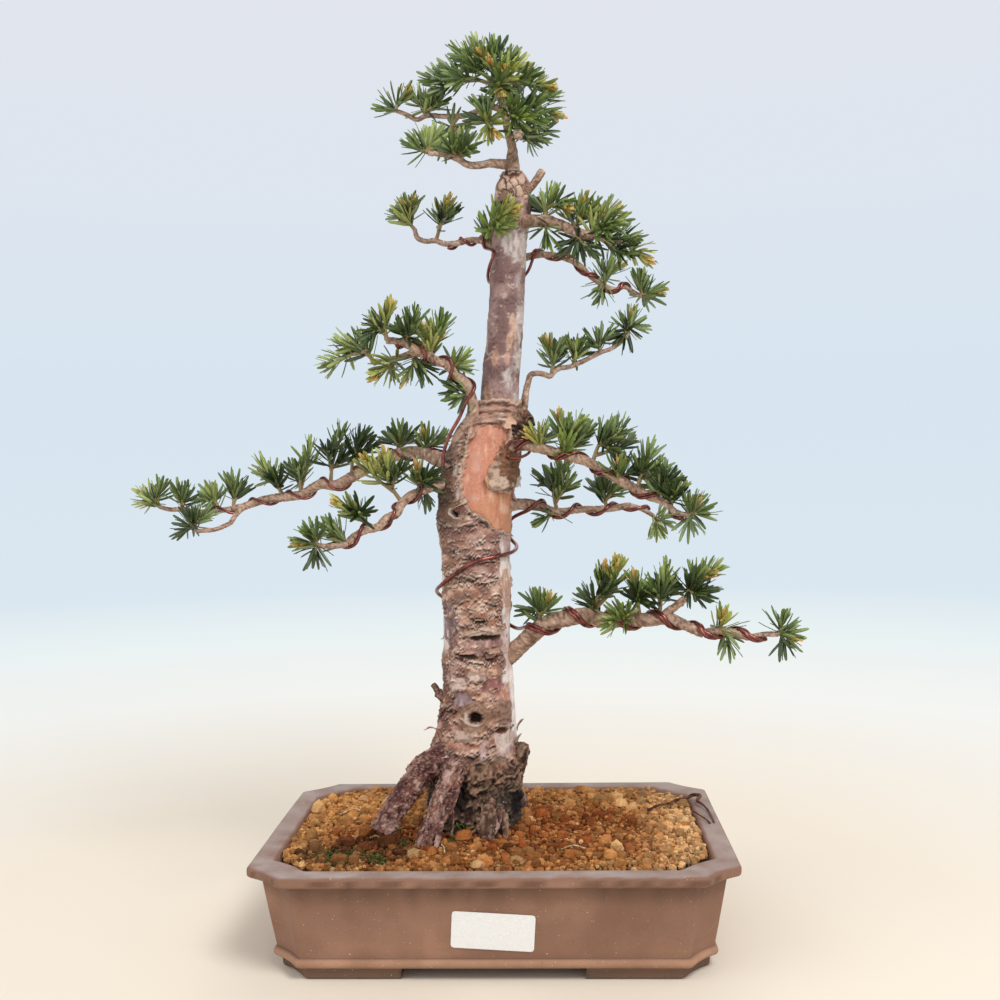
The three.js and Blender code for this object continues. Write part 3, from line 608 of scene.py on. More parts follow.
@dataclass(frozen=True)
class Finish:
    """A rough natural finish: the mesh's tint, mottled and grained."""

    name: str
    roughness: float
    specular: float = 0.3
    mottle: float = 3.0
    mottle_depth: float = 0.3
    grain: float = 0.7
    grain_depth: float = 0.25
    stretch: tuple[float, float, float] = (1, 1, 1)

    def material(self) -> Material:
        """The material: tint times a mottle of light and dark, with two sizes of bump.

        Returns:
            The material.
        """
        nodes = Nodes(self.name)
        mottle = nodes.grain(self.mottle, stretch=self.stretch)
        fine = nodes.grain(self.grain, 2)
        dark = nodes.window(mottle, 0.3, 0.7, 1 - self.mottle_depth, 1 + self.mottle_depth)
        normal = nodes.bump(fine, self.grain_depth, nodes.bump(mottle, self.grain_depth * 2))
        rough = nodes.window(fine, 0.2, 0.8, self.roughness - 0.08, min(1, self.roughness + 0.08))
        sockets = {"Base Color": nodes.scaled(nodes.tint(), dark), "Roughness": rough, "Normal": normal}
        return nodes.finished(sockets, {"Specular IOR Level": self.specular})


@dataclass(frozen=True)
class NeedleFinish:
    """Waxy leaf: the mesh's tint with a soft shine and a little light through it."""

    name: str = "yew_needles"
    roughness: float = 0.42
    coat: float = 0.12

    def material(self) -> Material:
        """The material: tint with fine streaks, a thin coat and faint bump.

        Returns:
            The material.
        """
        nodes = Nodes(self.name)
        streak = nodes.grain(0.9, 2)
        shade = nodes.scaled(nodes.tint(), nodes.window(streak, 0.3, 0.7, 0.88, 1.14))
        rough = nodes.window(streak, 0.2, 0.8, self.roughness - 0.07, self.roughness + 0.09)
        sockets = {"Base Color": shade, "Roughness": rough, "Normal": nodes.bump(streak, 0.04)}
        return nodes.finished(sockets, {"Coat Weight": self.coat, "Coat Roughness": 0.35})


@dataclass(frozen=True)
class ClayFinish:
    """Unglazed brown clay with pale and dark grains, matt, with a little wear."""

    name: str = "unglazed_clay"

    def material(self) -> Material:
        """The material: tint, cloudy darker patches, fine pale and dark specks, and pits.

        Returns:
            The material.
        """
        nodes = Nodes(self.name)
        cloud = nodes.window(nodes.grain(22), 0.35, 0.68, 0, 0.5)
        body = nodes.mix(cloud, nodes.tint(), colour("7d5d49"))
        pale = nodes.window(nodes.grain(1.1, 1), 0.74, 0.79, 0, 0.75)
        dark = nodes.window(nodes.grain(1.6, 2), 0.31, 0.25, 0, 0.5)
        specked = nodes.mix(dark, nodes.mix(pale, body, colour("d9cdc2")), colour("4a3a34"))
        fine = nodes.grain(0.8, 4)
        normal = nodes.bump(fine, 0.16, nodes.bump(nodes.grain(5), 0.35))
        rough = nodes.window(fine, 0.2, 0.8, 0.68, 0.86)
        sockets = {"Base Color": specked, "Roughness": rough, "Normal": normal}
        return nodes.finished(sockets, {"Specular IOR Level": 0.32})


@dataclass(frozen=True)
class WireFinish:
    """Anodised aluminium wire: copper-brown, satin, with darker handling marks."""

    name: str = "copper_brown_wire"

    def material(self) -> Material:
        """The material: a satin metal with cloudy wear.

        Returns:
            The material.
        """
        nodes = Nodes(self.name)
        wear = nodes.grain(4, 3)
        shade = nodes.mix(nodes.window(wear, 0.35, 0.7), colour("96564c"), colour("55302c"))
        rough, normal = nodes.window(wear, 0.3, 0.7, 0.2, 0.34), nodes.bump(nodes.grain(0.8, 2), 0.03)
        sockets = {"Base Color": shade, "Roughness": rough, "Normal": normal}
        return nodes.finished(sockets, {"Metallic": 0.75})


@dataclass(frozen=True)
class PaperFinish:
    """Matt white paper, a little uneven."""

    name: str = "blank_paper"

    def material(self) -> Material:
        """The material: white with faint fibres.

        Returns:
            The material.
        """
        nodes = Nodes(self.name)
        fibre = nodes.grain(1.5, 4, (1, 1, 3))
        shade = nodes.mix(nodes.window(fibre, 0.3, 0.7), colour("f6f5f2"), colour("e9e7e2"))
        rough = nodes.window(fibre, 0.3, 0.7, 0.5, 0.62)
        sockets = {"Base Color": shade, "Roughness": rough, "Normal": nodes.bump(fibre, 0.05)}
        return nodes.finished(sockets, {})


BARK = Finish("bark", 0.8, 0.25, mottle=1.2, mottle_depth=0.12, grain=0.4, grain_depth=0.12)
SMOOTH_BARK = Finish("smooth_bark", 0.62, 0.35, 1.6, 0.16, 0.6, 0.12, (1, 1, 1.6))
LIMB_BARK = Finish("limb_bark", 0.72, 0.3, 1.6, 0.22, 0.5, 0.14)
GRAIN_CLAY = Finish("fired_granules", 0.92, 0.15, 1.4, 0.22, 0.45, 0.25)
MOSS = Finish("moss", 0.85, 0.2, 1.2, 0.25, 0.4, 0.1)


# Putting shapes into the scene


def mesh_of(name: str, shape: Shape, material: Material, smooth: bool) -> bpy.types.Mesh:
    """A mesh of the shape in metres in the shared frame, with its tint and material.

    Args:
        name: the mesh's name.
        shape: the surface in millimetres.
        material: what it is made of.
        smooth: whether its faces are shaded smooth.

    Returns:
        The new mesh.
    """
    mesh = bpy.data.meshes.new(name)
    corners = np.concatenate([shape.quads.ravel(), shape.triangles.ravel()])
    sizes = np.repeat([4, 3], [len(shape.quads), len(shape.triangles)])
    starts = np.concatenate([[0], np.cumsum(sizes)[:-1]])
    mesh.vertices.add(len(shape.points))
    mesh.vertices.foreach_set("co", ((shape.points + ORIGIN) * MM).astype(np.float32).ravel())
    mesh.loops.add(len(corners))
    mesh.loops.foreach_set("vertex_index", corners.astype(np.int32))
    mesh.polygons.add(len(sizes))
    mesh.polygons.foreach_set("loop_start", starts.astype(np.int32))
    mesh.polygons.foreach_set("use_smooth", np.full(len(sizes), smooth))
    mesh.update(calc_edges=True)
    layer = mesh.attributes.new(COAT, "FLOAT_COLOR", "POINT")
    rgba = np.concatenate([np.clip(shape.tint, 0, 1), np.ones((len(shape.tint), 1))], axis=1)
    layer.data.foreach_set("color", rgba.astype(np.float32).ravel())
    mesh.materials.append(material)
    return mesh


def added(name: str, data: bpy.types.ID) -> bpy.types.Object:
    """A new object in the scene, with the given mesh, lamp or camera.

    Args:
        name: the object's name.
        data: its mesh, lamp or camera.

    Returns:
        The new object.
    """
    thing = bpy.data.objects.new(name, data)
    bpy.context.scene.collection.objects.link(thing)
    return thing


@dataclass
class Piece:
    """A finished surface with its name, material, slot and the nodes it stands for."""

    name: str
    shape: Shape
    material: Material
    slot: str
    nodes: tuple[str, ...] = ()
    smooth: bool = True

    def place(self) -> bpy.types.Object:
        """Puts the piece into the scene, riding on the root body.

        Returns:
            The new object.
        """
        piece = added(self.name, mesh_of(self.name, self.shape, self.material, self.smooth))
        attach(piece, "root")
        if self.nodes:
            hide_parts(*self.nodes)
        LOG.info("%s: %d triangles", self.name, 2 * len(self.shape.quads) + len(self.shape.triangles))
        return piece


# The trunk


class MarkKind(Enum):
    """What a marked place on the trunk is."""

    HOLLOW = "a dark pocket"
    KNOT = "a healed ring round a hole"
    PEELED = "a smooth place where bark came off"
    PLATE = "a thick plate of bark"
    STAIN = "a place of another colour"


@dataclass(frozen=True)
class Mark:
    """A place on the trunk's front: its middle, half sizes, kind and colour."""

    x: float
    z: float
    across: float
    up: float
    kind: MarkKind
    # The default, nearly black, is for the hollows: painted shade in their pockets.
    shade: str = "2b1a13"


H, K, P, T, S = MarkKind.HOLLOW, MarkKind.KNOT, MarkKind.PEELED, MarkKind.PLATE, MarkKind.STAIN

OLD_MARKS = (
    Mark(-29, 204, 5.5, 14, P, "866a6c"),
    Mark(9, 229, 3.2, 12, P, "c0937c"),
    Mark(-20.6, 154.4, 6.2, 5.4, P, "a68c8e"),
    Mark(6.5, 158.3, 3, 7, P, "bd8060"),
    Mark(-0.6, 172.6, 5, 2.2, T, "c59a84"),
    Mark(0, 162, 8, 5, P, "93615c"),
    Mark(-6.5, 190.1, 13.5, 5, P, "a9807a"),
    Mark(-23.4, 307, 1.8, 4.5, P, "d8c3b6"),
    Mark(-20.5, 291, 1.6, 4, P, "cdb0a4"),
    Mark(-24, 318, 2, 5, S, "8a6a5a"),
    Mark(6, 128, 7, 6, P, "c7b0a4"),
    Mark(-7, 122, 3, 6, P, "b79a92"),
    Mark(-11, 169.5, 4.8, 3, T, "cdb2a2"),
    Mark(-24.2, 165, 6.2, 4.2, T, "c9aea0"),
    Mark(5.4, 145.5, 4.8, 7.8, T, "93705d"),
    Mark(-19, 132, 8, 3.4, T, "c2a493"),
    Mark(12.5, 309, 7.5, 14, T, "80583f"),
    Mark(4.4, 296.5, 5.6, 5, T, "c3a893"),
    Mark(2, 304, 3, 5, T, "b3957f"),
    Mark(-8.5, 198.2, 14, 1.5, S, "dcc2b2"),
    # Hollows: their dark colours are painted shade in the pockets; the one at z 335.6 is a painted shadow
    # under the collar's edge.
    Mark(-8.7, 206.7, 5.2, 2.2, H),
    Mark(-6, 195.4, 13, 1.9, H),
    Mark(-17.4, 183.9, 6.5, 2.6, H),
    Mark(-1.7, 183.2, 5.2, 3.6, H, "3a211a"),
    Mark(5.3, 133.6, 5, 2.4, H, "4a2d20"),
    Mark(-18.6, 279.3, 2, 2.4, H),
    Mark(-3, 335.6, 9, 0.8, H, "53322a"),
    Mark(-24.2, 92, 7, 12, H, "1c120e"),
    Mark(13, 84, 4, 9, H, "15100d"),
    Mark(-12.6, 143.2, 6.2, 5.4, K),
    Mark(-22.2, 278, 4.2, 3.6, K),
)

YOUNG_MARKS = (
    Mark(15.4, 399, 3, 9, S, "cfa890"),
    Mark(13, 389, 2, 7, S, "c99f87"),
    Mark(4, 380, 2.4, 5.5, S, "c9967c"),
    Mark(11.4, 378.5, 1.8, 5, S, "c09481"),
    Mark(12.6, 364, 4.4, 7.5, S, "c6b6ae"),
    Mark(15.2, 367, 1.4, 3, S, "6d4c46"),
    Mark(-1.5, 356, 4, 6, S, "d0a78a"),
    Mark(5, 349.5, 9, 3, S, "c39272"),
    Mark(19.5, 398, 1.6, 14, S, "cdbcb2"),
    Mark(-2.4, 405, 1.5, 24, S, "cfae94"),
    Mark(17.5, 453, 7.5, 10, S, "cdbfb7"),
    Mark(23, 478, 3, 8, S, "b58b82"),
    # Hollows: dark colours painted as shade in a slit and a pocket.
    Mark(9.5, 480.6, 6, 0.9, H, "2e1a14"),
    Mark(16.5, 500, 6, 3, H, "4b2f22"),
)

BARE_WOOD = (
    (-11, 335), (14, 334), (11, 323), (4.5, 316), (3.5, 309.5), (0, 303), (0, 293), (10, 289.5), (13.5, 298),
    (19, 303), (15, 261), (5.5, 266), (-1.5, 272), (-14, 280), (-18.5, 286), (-18.5, 299), (-17, 311),
)


def depth_inside(points: Array, outline: tuple[tuple[float, float], ...]) -> Array:
    """How deep flat points lie inside an outline, below nought outside it.

    The distance is the least of those to the outline's sides, and a point is inside if
    a ray from it crosses the outline an odd number of times.

    Args:
        points: flat places, with two numbers on the last axis.
        outline: its corners in order.

    Returns:
        One depth for each place.
    """
    corners = np.array(outline, float)
    following = np.roll(corners, -1, axis=0)
    distance = np.full(points.shape[:-1], np.inf)
    inside = np.zeros(points.shape[:-1], bool)
    for start, end in zip(corners, following):
        side = end - start
        way = np.clip(((points - start) @ side) / (side @ side), 0, 1)
        distance = np.minimum(distance, np.linalg.norm(points - start - way[..., None] * side, axis=-1))
        crosses = (start[1] > points[..., 1]) != (end[1] > points[..., 1])
        reach = start[0] + (points[..., 1] - start[1]) * side[0] / (side[1] if side[1] else 1e-9)
        inside ^= crosses & (points[..., 0] < reach)
    return np.where(inside, distance, -distance)


def marked(points: Array, relief: Array, tint: Array, out: Array,
           marks: tuple[Mark, ...]) -> Pair:
    """Relief and tint with the marks on them, each eased in round its uneven edge.

    Args:
        points: places on the bare trunk.
        relief: what is there before the marks.
        tint: what is there before the marks.
        out: 1 on the front of the trunk, nought on its back.
        marks: the marks, the later ones on top.

    Returns:
        The new relief and tint.
    """
    for index, mark in enumerate(marks):
        x, z = points[..., 0] - mark.x, points[..., 2] - mark.z
        across, up = x / mark.across, z / mark.up
        wobble = 1 + 0.35 * noise(points, 3.2, 100 + index) + 0.15 * noise(points, 1.2, 200 + index)
        reach = (across**4 + up**4) ** 0.25 if mark.kind is MarkKind.PLATE else np.hypot(across, up)
        reach = reach * (0.5 * wobble + 0.5 if mark.kind is MarkKind.KNOT else wobble)
        streak = noise(points, 1.7, 140 + index, 0.4) + 0.5 * noise(points, 4, 160 + index, 0.3)
        own = colour(mark.shade)
        shade = own * (1 + 0.16 * streak)[..., None]
        weight = ease(1.12, 0.88, reach) * out
        if mark.kind is MarkKind.HOLLOW:
            # Painted shade: the pocket takes the mark's dark colour, lightened towards its lower side as
            # painted light.
            ragged = reach + 0.25 * noise(points, 1.5, 240 + index)
            painted_light = ease(0.2, -0.8, up + 0.4 * streak)[..., None]
            relief = relief - 2.2 * ease(1.05, 0.5, ragged) * out
            tint = blend(tint, shade + painted_light * shade * 1.8, ease(1.15, 0.8, ragged) * out)
        elif mark.kind is MarkKind.PEELED:
            pale, dark = ease(0.25, 0.8, streak) * 0.45, ease(-0.3, -0.9, streak) * 0.6
            weight = weight * ease(0.5, 0.3, noise(points, 2.4, 180 + index))
            relief = relief + weight * (-0.9 - relief)
            tint = blend(tint, painted(shade, ("dcc8bc", pale), (own * 0.5, dark)), weight * 0.92)
        elif mark.kind is MarkKind.PLATE:
            # Painted shade: the plate is darkened in its pits, and a broken dark line just outside its edge
            # is painted shade under the raised plate.
            pits = ease(0.05, 0.35, noise(points * (0.7, 0.7, 1.3), 1.9, 220 + index))
            relief = relief + weight * (1.1 - 0.5 * relief - 0.1 * z - 0.8 * pits)
            broken = ease(-0.1, 0.4, noise(points, 2.4, 240 + index)) * out
            edge = np.exp(-(((reach - 1.12) / 0.09) ** 2)) * broken
            pit_shaded = blend(shade, own * 0.45, pits * 0.8)
            tint = painted(tint, (pit_shaded, weight * 0.95), ("3a251b", edge * 0.7))
        elif mark.kind is MarkKind.STAIN:
            tint = blend(tint, shade, ease(1.2, 0.75, reach) * out * (0.4 + 0.4 * ease(-0.4, 0.3, streak)))
        else:
            ring = np.exp(-(((reach - 1) / 0.19) ** 2)) * out
            ripples = ease(2.0, 1.6, reach) * ease(1.1, 1.3, reach) * out
            wave = np.cos(17 * reach)
            relief = relief * (1 - 0.6 * ripples) + 1.7 * ring - 5.5 * ease(0.88, 0.5, reach) * out
            relief = relief + ripples * (0.5 + 0.45 * wave)
            low_left = 0.5 - 0.5 * np.tanh((x + z + 1) / 2.5)
            # The hole in the knot is near black as painted shade, with a little painted light towards its
            # lower side.
            floor = colour("20140f") + 0.08 * ease(0.2, -1.5, up * 2)[..., None] * colour("a87d5f")
            tint = painted(
                tint,
                (colour("86654d") * (1 + 0.35 * wave)[..., None], ripples * 0.75),
                (between("8a6a55", "dcc6b6", low_left), ring * 0.9),
                (floor, ease(0.76, 0.66, reach + 0.15 * streak) * out),
            )
    return relief, tint


@dataclass(frozen=True)
class Curl:
    """A loose sheet of bark on the front: where it holds, its half width, length, bend, turn, colour.

    At turn 0 it holds by its upper edge and bends out below. The turn is in degrees,
    anticlockwise for the viewer.
    """

    x: float
    z: float
    half: float
    length: float
    bend: float
    turn: float
    shade: str


CURLS = (
    Curl(-0.5, 298, 4, 4.5, 1.5, -70, "d0a27e"),
    Curl(17.5, 300, 6.5, 4.5, 1.6, 80, "dccdc2"),
    Curl(9, 341, 5, 9, 0.9, 30, "cfa68c"),
    Curl(-14, 203.5, 6, 5.5, 0.8, 9, "bfa08b"),
    Curl(-4, 204.5, 6.5, 5, 0.7, -5, "c4a591"),
    Curl(5, 203, 4.5, 4, 1.0, 8, "b7937e"),
    Curl(-8, 209.5, 5, 2.5, 0.9, 0, "c4a48e"),
    Curl(-20, 286, 4.5, 5, 1.5, 20, "d3bfae"),
    Curl(-11, 173, 5, 3.5, 0.8, 0, "d0b5a5"),
    Curl(-24.5, 170, 5, 4, 0.9, -8, "ccb0a0"),
    Curl(-17.5, 187.5, 6, 3, 1.0, 0, "b8937f"),
    Curl(0, 188, 5.5, 3.5, 1.1, 5, "b98f78"),
    Curl(5.5, 139, 5, 3, 1.2, 0, "a58f74"),
    Curl(-36, 127, 2.3, 16, 1.8, 180, "b98d78"),
    Curl(-36, 158, 3, 7, 1.2, -30, "a98a74"),
    Curl(-3, 236, 7, 4, 1.1, 6, "c4a78c"),
    Curl(-26, 232, 5, 4, 1.2, -6, "bb9a80"),
    Curl(-14, 258, 8, 4, 1.0, 3, "c7ab90"),
    Curl(8, 251, 5, 4, 1.1, -10, "cdb3a0"),
    Curl(-30, 296, 4, 6, 1.3, -20, "8a6c5a"),
    Curl(-27, 313, 4, 6, 1.3, -25, "a07f6c"),
    Curl(-14, 330, 5, 5, 1.0, 15, "c19a82"),
    Curl(14, 122, 3.5, 7, 0.8, 170, "b8a08c"),
    Curl(22, 130, 3, 8, 1.0, 150, "a58a78"),
)


@dataclass
class Trunk:
    """The trunk: flaky old bark up to a ragged collar, smooth bark above it."""

    middles: tuple = (
        (-16, -4, 48), (-16, -2, 83), (-16, 0, 107), (-13, 2, 126), (-11, 3, 154), (-12, 2, 192),
        (-12, 0, 221), (-12, -1, 251), (-12, -1, 268), (-9, 0, 294), (-5, 1, 316), (1, 2, 335),
        (5, 2, 346), (6, 3, 356), (8, 4, 379), (10, 4, 397), (12, 3, 422), (14, 2, 456),
        (17, 1, 481), (17, 0, 494), (17, 0, 503),
    )
    radii: tuple = (
        27, 28.5, 31, 27.5, 24, 23, 23, 23.7, 24.5, 24.8, 24, 19, 15.2, 12.9, 12.3, 11.7,
        11.4, 11.5, 12, 11, 6.5,
    )
    foot: float = 62
    collar: float = 351
    top: float = 502.5
    old_around: int = 240
    old_rows: int = 408
    young_around: int = 110
    young_rows: int = 220
    loose: int = 150
    thickness: float = 0.45
    gathering: float = 0.3
    collar_thickness: float = 3.2

    def core(self, z: Array) -> Pair:
        """The middle and radius of the trunk at each height.

        Args:
            z: the heights.

        Returns:
            The middle's X and Y at each height, and the radius there.
        """
        line = smooth_line(self.middles, 1.0)
        radius = line.widths(self.radii)
        middle = sampled(z, line.points[:, 2], line.points[:, :2])
        return middle, np.interp(z, line.points[:, 2], radius)

    def skin(self, points: Array, angle: Array) -> Array:
        """Where the old bark has come off to smooth skin: on both flanks and in patches behind.

        Args:
            points: places on the bare trunk.
            angle: the turn round the trunk at each of them.

        Returns:
            1 on smooth skin, nought on bark.
        """
        z = points[..., 2]
        wander = 0.28 * noise(points, 13, 91, 0.6) + 0.1 * noise(points, 4, 92)
        low = 0.26 * ease(180, 160, z)
        right = ease(0.72, 0.86, np.cos(angle) + wander + low) * ease(112, 130, z) * ease(268, 250, z)
        left = ease(0.84, 0.95, -np.cos(angle) + wander) * ease(178, 190, z) * ease(258, 246, z)
        behind = ease(0.1, 0.5, np.sin(angle)) * ease(0.1, 0.3, noise(points, 34, 93) + wander)
        return np.clip(right + left + behind * ease(125, 140, z), 0, 1)

    def bark(self, points: Array, angle: Array,
             out: Array) -> Pair:
        """Relief and tint of the old bark.

        Broad plates are noise cut into levels. On them lie shingled sheets: a sawtooth up the
        trunk that noise breaks up, thick at each sheet's lower edge. Where the next rows up
        stand higher the tint is darkened as a painted shadow under the overhang, and where the rows below lie
        deeper there is a pale lip.

        Args:
            points: rows of places on the bare trunk, from the foot up.
            angle: the turn round the trunk at each of them.
            out: 1 on the front of the trunk, nought on its back.

        Returns:
            Relief in millimetres and tint.
        """
        z = points[..., 2]
        warped = points + 2.4 * noise_vectors(points, 8, 5) * (1, 1, 0.5)
        level = 2.6 * layered_noise(warped * (1, 1, 1.7), 13, 3)
        step = np.floor(level)
        plates = step + ease(0, 0.16, level - step)
        shingle = z / 3.7 + 2.5 * layered_noise(warped * (1, 1, 1.25), 8, 8)
        part = shingle - np.floor(shingle)
        sheet = ease(0, 0.16, part) * (1 - 0.85 * part)
        flake = z / 2.3 + 2.2 * layered_noise(warped, 4.5, 40, 2)
        thin = flake - np.floor(flake)
        sheet = sheet + 0.55 * ease(0, 0.2, thin) * (1 - 0.85 * thin)
        grain = noise(points, 1.1, 41) + 0.6 * noise(points, 0.6, 43)
        rough = 1 - self.skin(points, angle)
        fibres = ease(124, 108, z + 7 * noise(points, 11, 45))
        ridge = 1 - 2 * np.abs(noise(warped, 2.4, 47, 0.45)) + 0.7 * noise(points, 1.4, 48, 0.7)
        crust = 0.45 * plates + 0.8 * sheet + 0.13 * grain
        furrowed = 0.8 * ridge + 0.7 * plates + 0.3 * grain
        crust = crust + (furrowed - crust) * (fibres * 0.9)
        relief = rough * (crust + 0.35) + 0.12 * noise(points, 5, 49) - 0.55
        # Painted shadow: darkened where the rows two up stand higher, under an overhanging edge.
        gap = ease(0.1, 0.65, np.roll(relief, -2, axis=0) - relief)
        lip = ease(0.15, 0.7, relief - np.roll(relief, 2, axis=0))
        relief = relief + 0.3 * lip * rough

        tone = noise(warped, 7, 61, 1.5) + 0.35 * noise(points, 2.2, 62)
        # The fibrous wood at the foot is darker in its furrows and nearly black in the deepest: painted
        # shade.
        wood = between("533a2c", "a48268", ease(0.0, 1.3, ridge + 0.5 * tone))
        wood = painted(wood, ("271a13", ease(0.15, -0.5, ridge) * 0.9))
        wood = wood * (1 - 0.4 * ease(104, 84, z + 6 * noise(points, 9, 68)))[..., None]
        mossy = ease(-14, -4, points[..., 0]) * ease(104, 90, z + 5 * noise(points, 8, 69)) * out
        damp = ease(0.05, 0.5, noise(points, 9, 70)) * ease(126, 112, z) * out
        left = ease(-17, -25, points[..., 0] + 3 * noise(points, 6, 71)) * ease(262, 276, z) * out
        tint = painted(
            between("9b705a", "d2ae99", ease(-0.1, 0.55, tone)),
            ("7d5f52", ease(-0.05, -0.6, tone) * 0.9),
            ("7c5754", ease(0.15, 0.6, noise(points, 24, 65)) * 0.5),
            ("a36a4f", ease(0.35, 0.7, noise(warped, 6, 67)) * 0.35),
            (wood, fibres),
            ("2c291d", mossy * (0.6 + 0.3 * tone)),
            ("4f4c2c", damp * 0.5),
            ("ecd8c8", lip * (0.4 + 0.4 * ease(-0.2, 0.4, tone)) * (1 - 0.75 * fibres)),
            # the painted shadow under overhanging edges
            ("2a1812", gap * 0.92),
            ("4a362b", left * (0.45 + 0.4 * ease(-0.3, 0.3, tone))),
        )
        pale = painted(
            between("c2a098", "eee2da", ease(-0.5, 0.4, noise(points, 6, 73, 0.4))),
            ("8f655c", ease(0.3, 0.8, noise(points, 2.6, 74, 0.3)) * 0.5),
            ("bd8d70", ease(0.45, 0.7, noise(points, 9, 75, 0.5)) * 0.6),
        )
        low = ease(178, 150, z)[..., None]
        tint = tint * (1 - low * (0.16, 0.24, 0.26) + (0.26 * grain)[..., None])
        tint = blend(tint, pale * (1 + 0.12 * grain)[..., None], (1 - rough) * 0.92)
        relief, tint = self.peeled(points, relief, tint, out)
        return marked(points, relief, tint, out, OLD_MARKS)

    def peeled(self, points: Array, relief: Array, tint: Array,
               out: Array) -> Pair:
        """The bark with its large bare patch: salmon, and orange-tan low on the right.

        Args:
            points: places on the bare trunk.
            relief: what is there before the patch.
            tint: what is there before the patch.
            out: 1 on the front of the trunk, nought on its back.

        Returns:
            The new relief and tint.
        """
        wander = 1.5 * noise_vectors(points, 4, 77) + 0.7 * noise_vectors(points, 1.5, 79)
        depth = depth_inside(points[..., [0, 2]] + wander[..., :2], BARE_WOOD)
        bare = ease(-0.5, 0.5, depth) * out
        low = points[..., 0] - 0.8 * (points[..., 2] - 298) + 6 * noise(points, 12, 13)
        wood = painted(
            between("c2836b", "c48868", ease(-14, 20, low)),
            ("e3b79c", ease(0.2, 0.8, noise(points, 2.5, 19, 0.25)) * 0.5),
            ("a5664b", ease(0.2, 0.75, noise(points, 5, 23, 0.4)) * 0.4),
            ("d9b6a4", ease(0.3, 0.7, noise(points, 9, 25)) * 0.4),
        )
        floor = -1.5 + 0.25 * noise(points, 6, 29) + 0.2 * ease(0.3, 0.4, noise(points, 5, 31, 0.6))
        edge = ease(-1.6, -0.4, depth) * (1 - bare) * out
        relief = relief + edge * 0.5
        return relief + bare * (floor - relief), painted(
            tint,
            ("dcc3a8", edge * 0.45),
            (wood * (1 + 0.1 * noise(points, 1.0, 33))[..., None], bare),
            # painted shadow inside the patch along its edge, under the bark round it
            ("5d3524", bare * ease(1.1, 0.2, depth) * 0.7),
        )

    def old_bark(self) -> Shape:
        """The old trunk: rings up to a ragged collar that stands clear of the smooth bark.

        The rings' points stand closer at the front: each turn grows by the gathering times
        its cosine.

        Returns:
            The closed surface.
        """
        way, turn = np.meshgrid(np.linspace(0, 1, self.old_rows),
                                np.linspace(0, TAU, self.old_around, endpoint=False), indexing="ij")
        angle = turn + self.gathering * np.cos(turn)
        cosine, sine = np.cos(angle), np.sin(angle)
        edge = xyz(20 * cosine[0], 20 * sine[0], 0)
        top = self.collar + 2.0 * noise(edge, 7, 2) + 0.9 * noise(edge, 2.5, 4)
        z = self.foot + (top - self.foot) * way
        middle, radius = self.core(z)
        round_place = xyz(20 * cosine, 20 * sine, z * 0.5)
        swell = 1 + 0.05 * noise(round_place, 16, 1) + 0.03 * noise(round_place, 6, 7)
        swell = swell + ease(118, 70, z) * (0.04 + 0.09 * np.cos(3 * angle + 0.7))
        radius = radius * swell
        front = ease(0.25, -0.1, sine)
        x = middle[..., 0] + radius * cosine
        radius = radius + 5 * front * np.exp(-(((x - 3) / 13) ** 2) - ((z - 82) / 12) ** 2)
        bare = xyz(x, middle[..., 1] + radius * sine, z)
        relief, tint = self.bark(bare, angle, front)
        band = ease(332, 340, z)
        lines = noise(bare * (0.25, 0.25, 1), 2.0, 39) + 0.5 * noise(bare * (0.3, 0.3, 1), 1.1, 34)
        relief = relief * (1 - 0.7 * band) + band * (0.2 - 0.35 * lines)
        relief = relief * (1 - 0.8 * ease(0.95, 0.99, way)) + 0.4 * ease(0.985, 1.0, way)
        skin = painted(
            between("744b3f", "b88e79", ease(-0.4, 0.4, noise(bare * (0.5, 0.5, 1), 4, 37))),
            ("472820", ease(0.05, 0.5, lines) * 0.9),
            ("dcc4b4", ease(-0.35, -0.75, lines) * 0.8),
        )
        tint = painted(tint, (skin, band * (0.7 + 0.3 * ease(-0.2, 0.2, noise(bare, 6, 33)))),
                       ("c4a48f", ease(0.992, 0.998, way)))
        outward = xyz(cosine, sine, 0)
        grid = bare + outward * relief[..., None]
        inner = grid[-1] - self.collar_thickness * outward[-1] + np.array([0, 0, -0.4])
        # The inner ring behind the collar's rim takes the top tint darkened to 0.4: painted shade in the gap.
        return closed_rings(np.concatenate([grid, inner[None]]), np.concatenate([tint, tint[-1:] * 0.4]))

    def young_bark(self) -> Shape:
        """The smooth trunk above: mauve-brown with pale lines, patches and a flaky top.

        Returns:
            The closed surface.
        """
        z, angle = np.meshgrid(np.linspace(self.collar - 8, self.top, self.young_rows),
                               np.linspace(0, TAU, self.young_around, endpoint=False), indexing="ij")
        middle, radius = self.core(z)
        radius = np.minimum(radius, 12.6 + 0.02 * (z - self.collar))
        cosine, sine = np.cos(angle), np.sin(angle)
        bare = xyz(middle[..., 0] + radius * cosine, middle[..., 1] + radius * sine, z)
        flaky = ease(474, 486, z + 4 * noise(bare, 8, 3))
        rings = noise(bare * (0.25, 0.25, 1), 2.6, 7)
        grain = noise(bare, 1.2, 17) + 0.6 * noise(bare, 0.7, 19)
        plates = cell_noise(bare + 2.2 * noise_vectors(bare, 4, 6), (6, 6, 8), 9)
        level = 1.7 * layered_noise(bare * (1, 1, 0.7), 8, 15)
        sheets = np.floor(level) + ease(0, 0.15, level - np.floor(level))
        relief = 0.4 * noise(bare, 15, 11) + 0.15 * rings + 0.28 * sheets + 0.08 * grain
        relief = relief + flaky * (1.4 * ease(0.02, 0.15, plates.inside) * (0.4 + plates.draw) - 0.9)
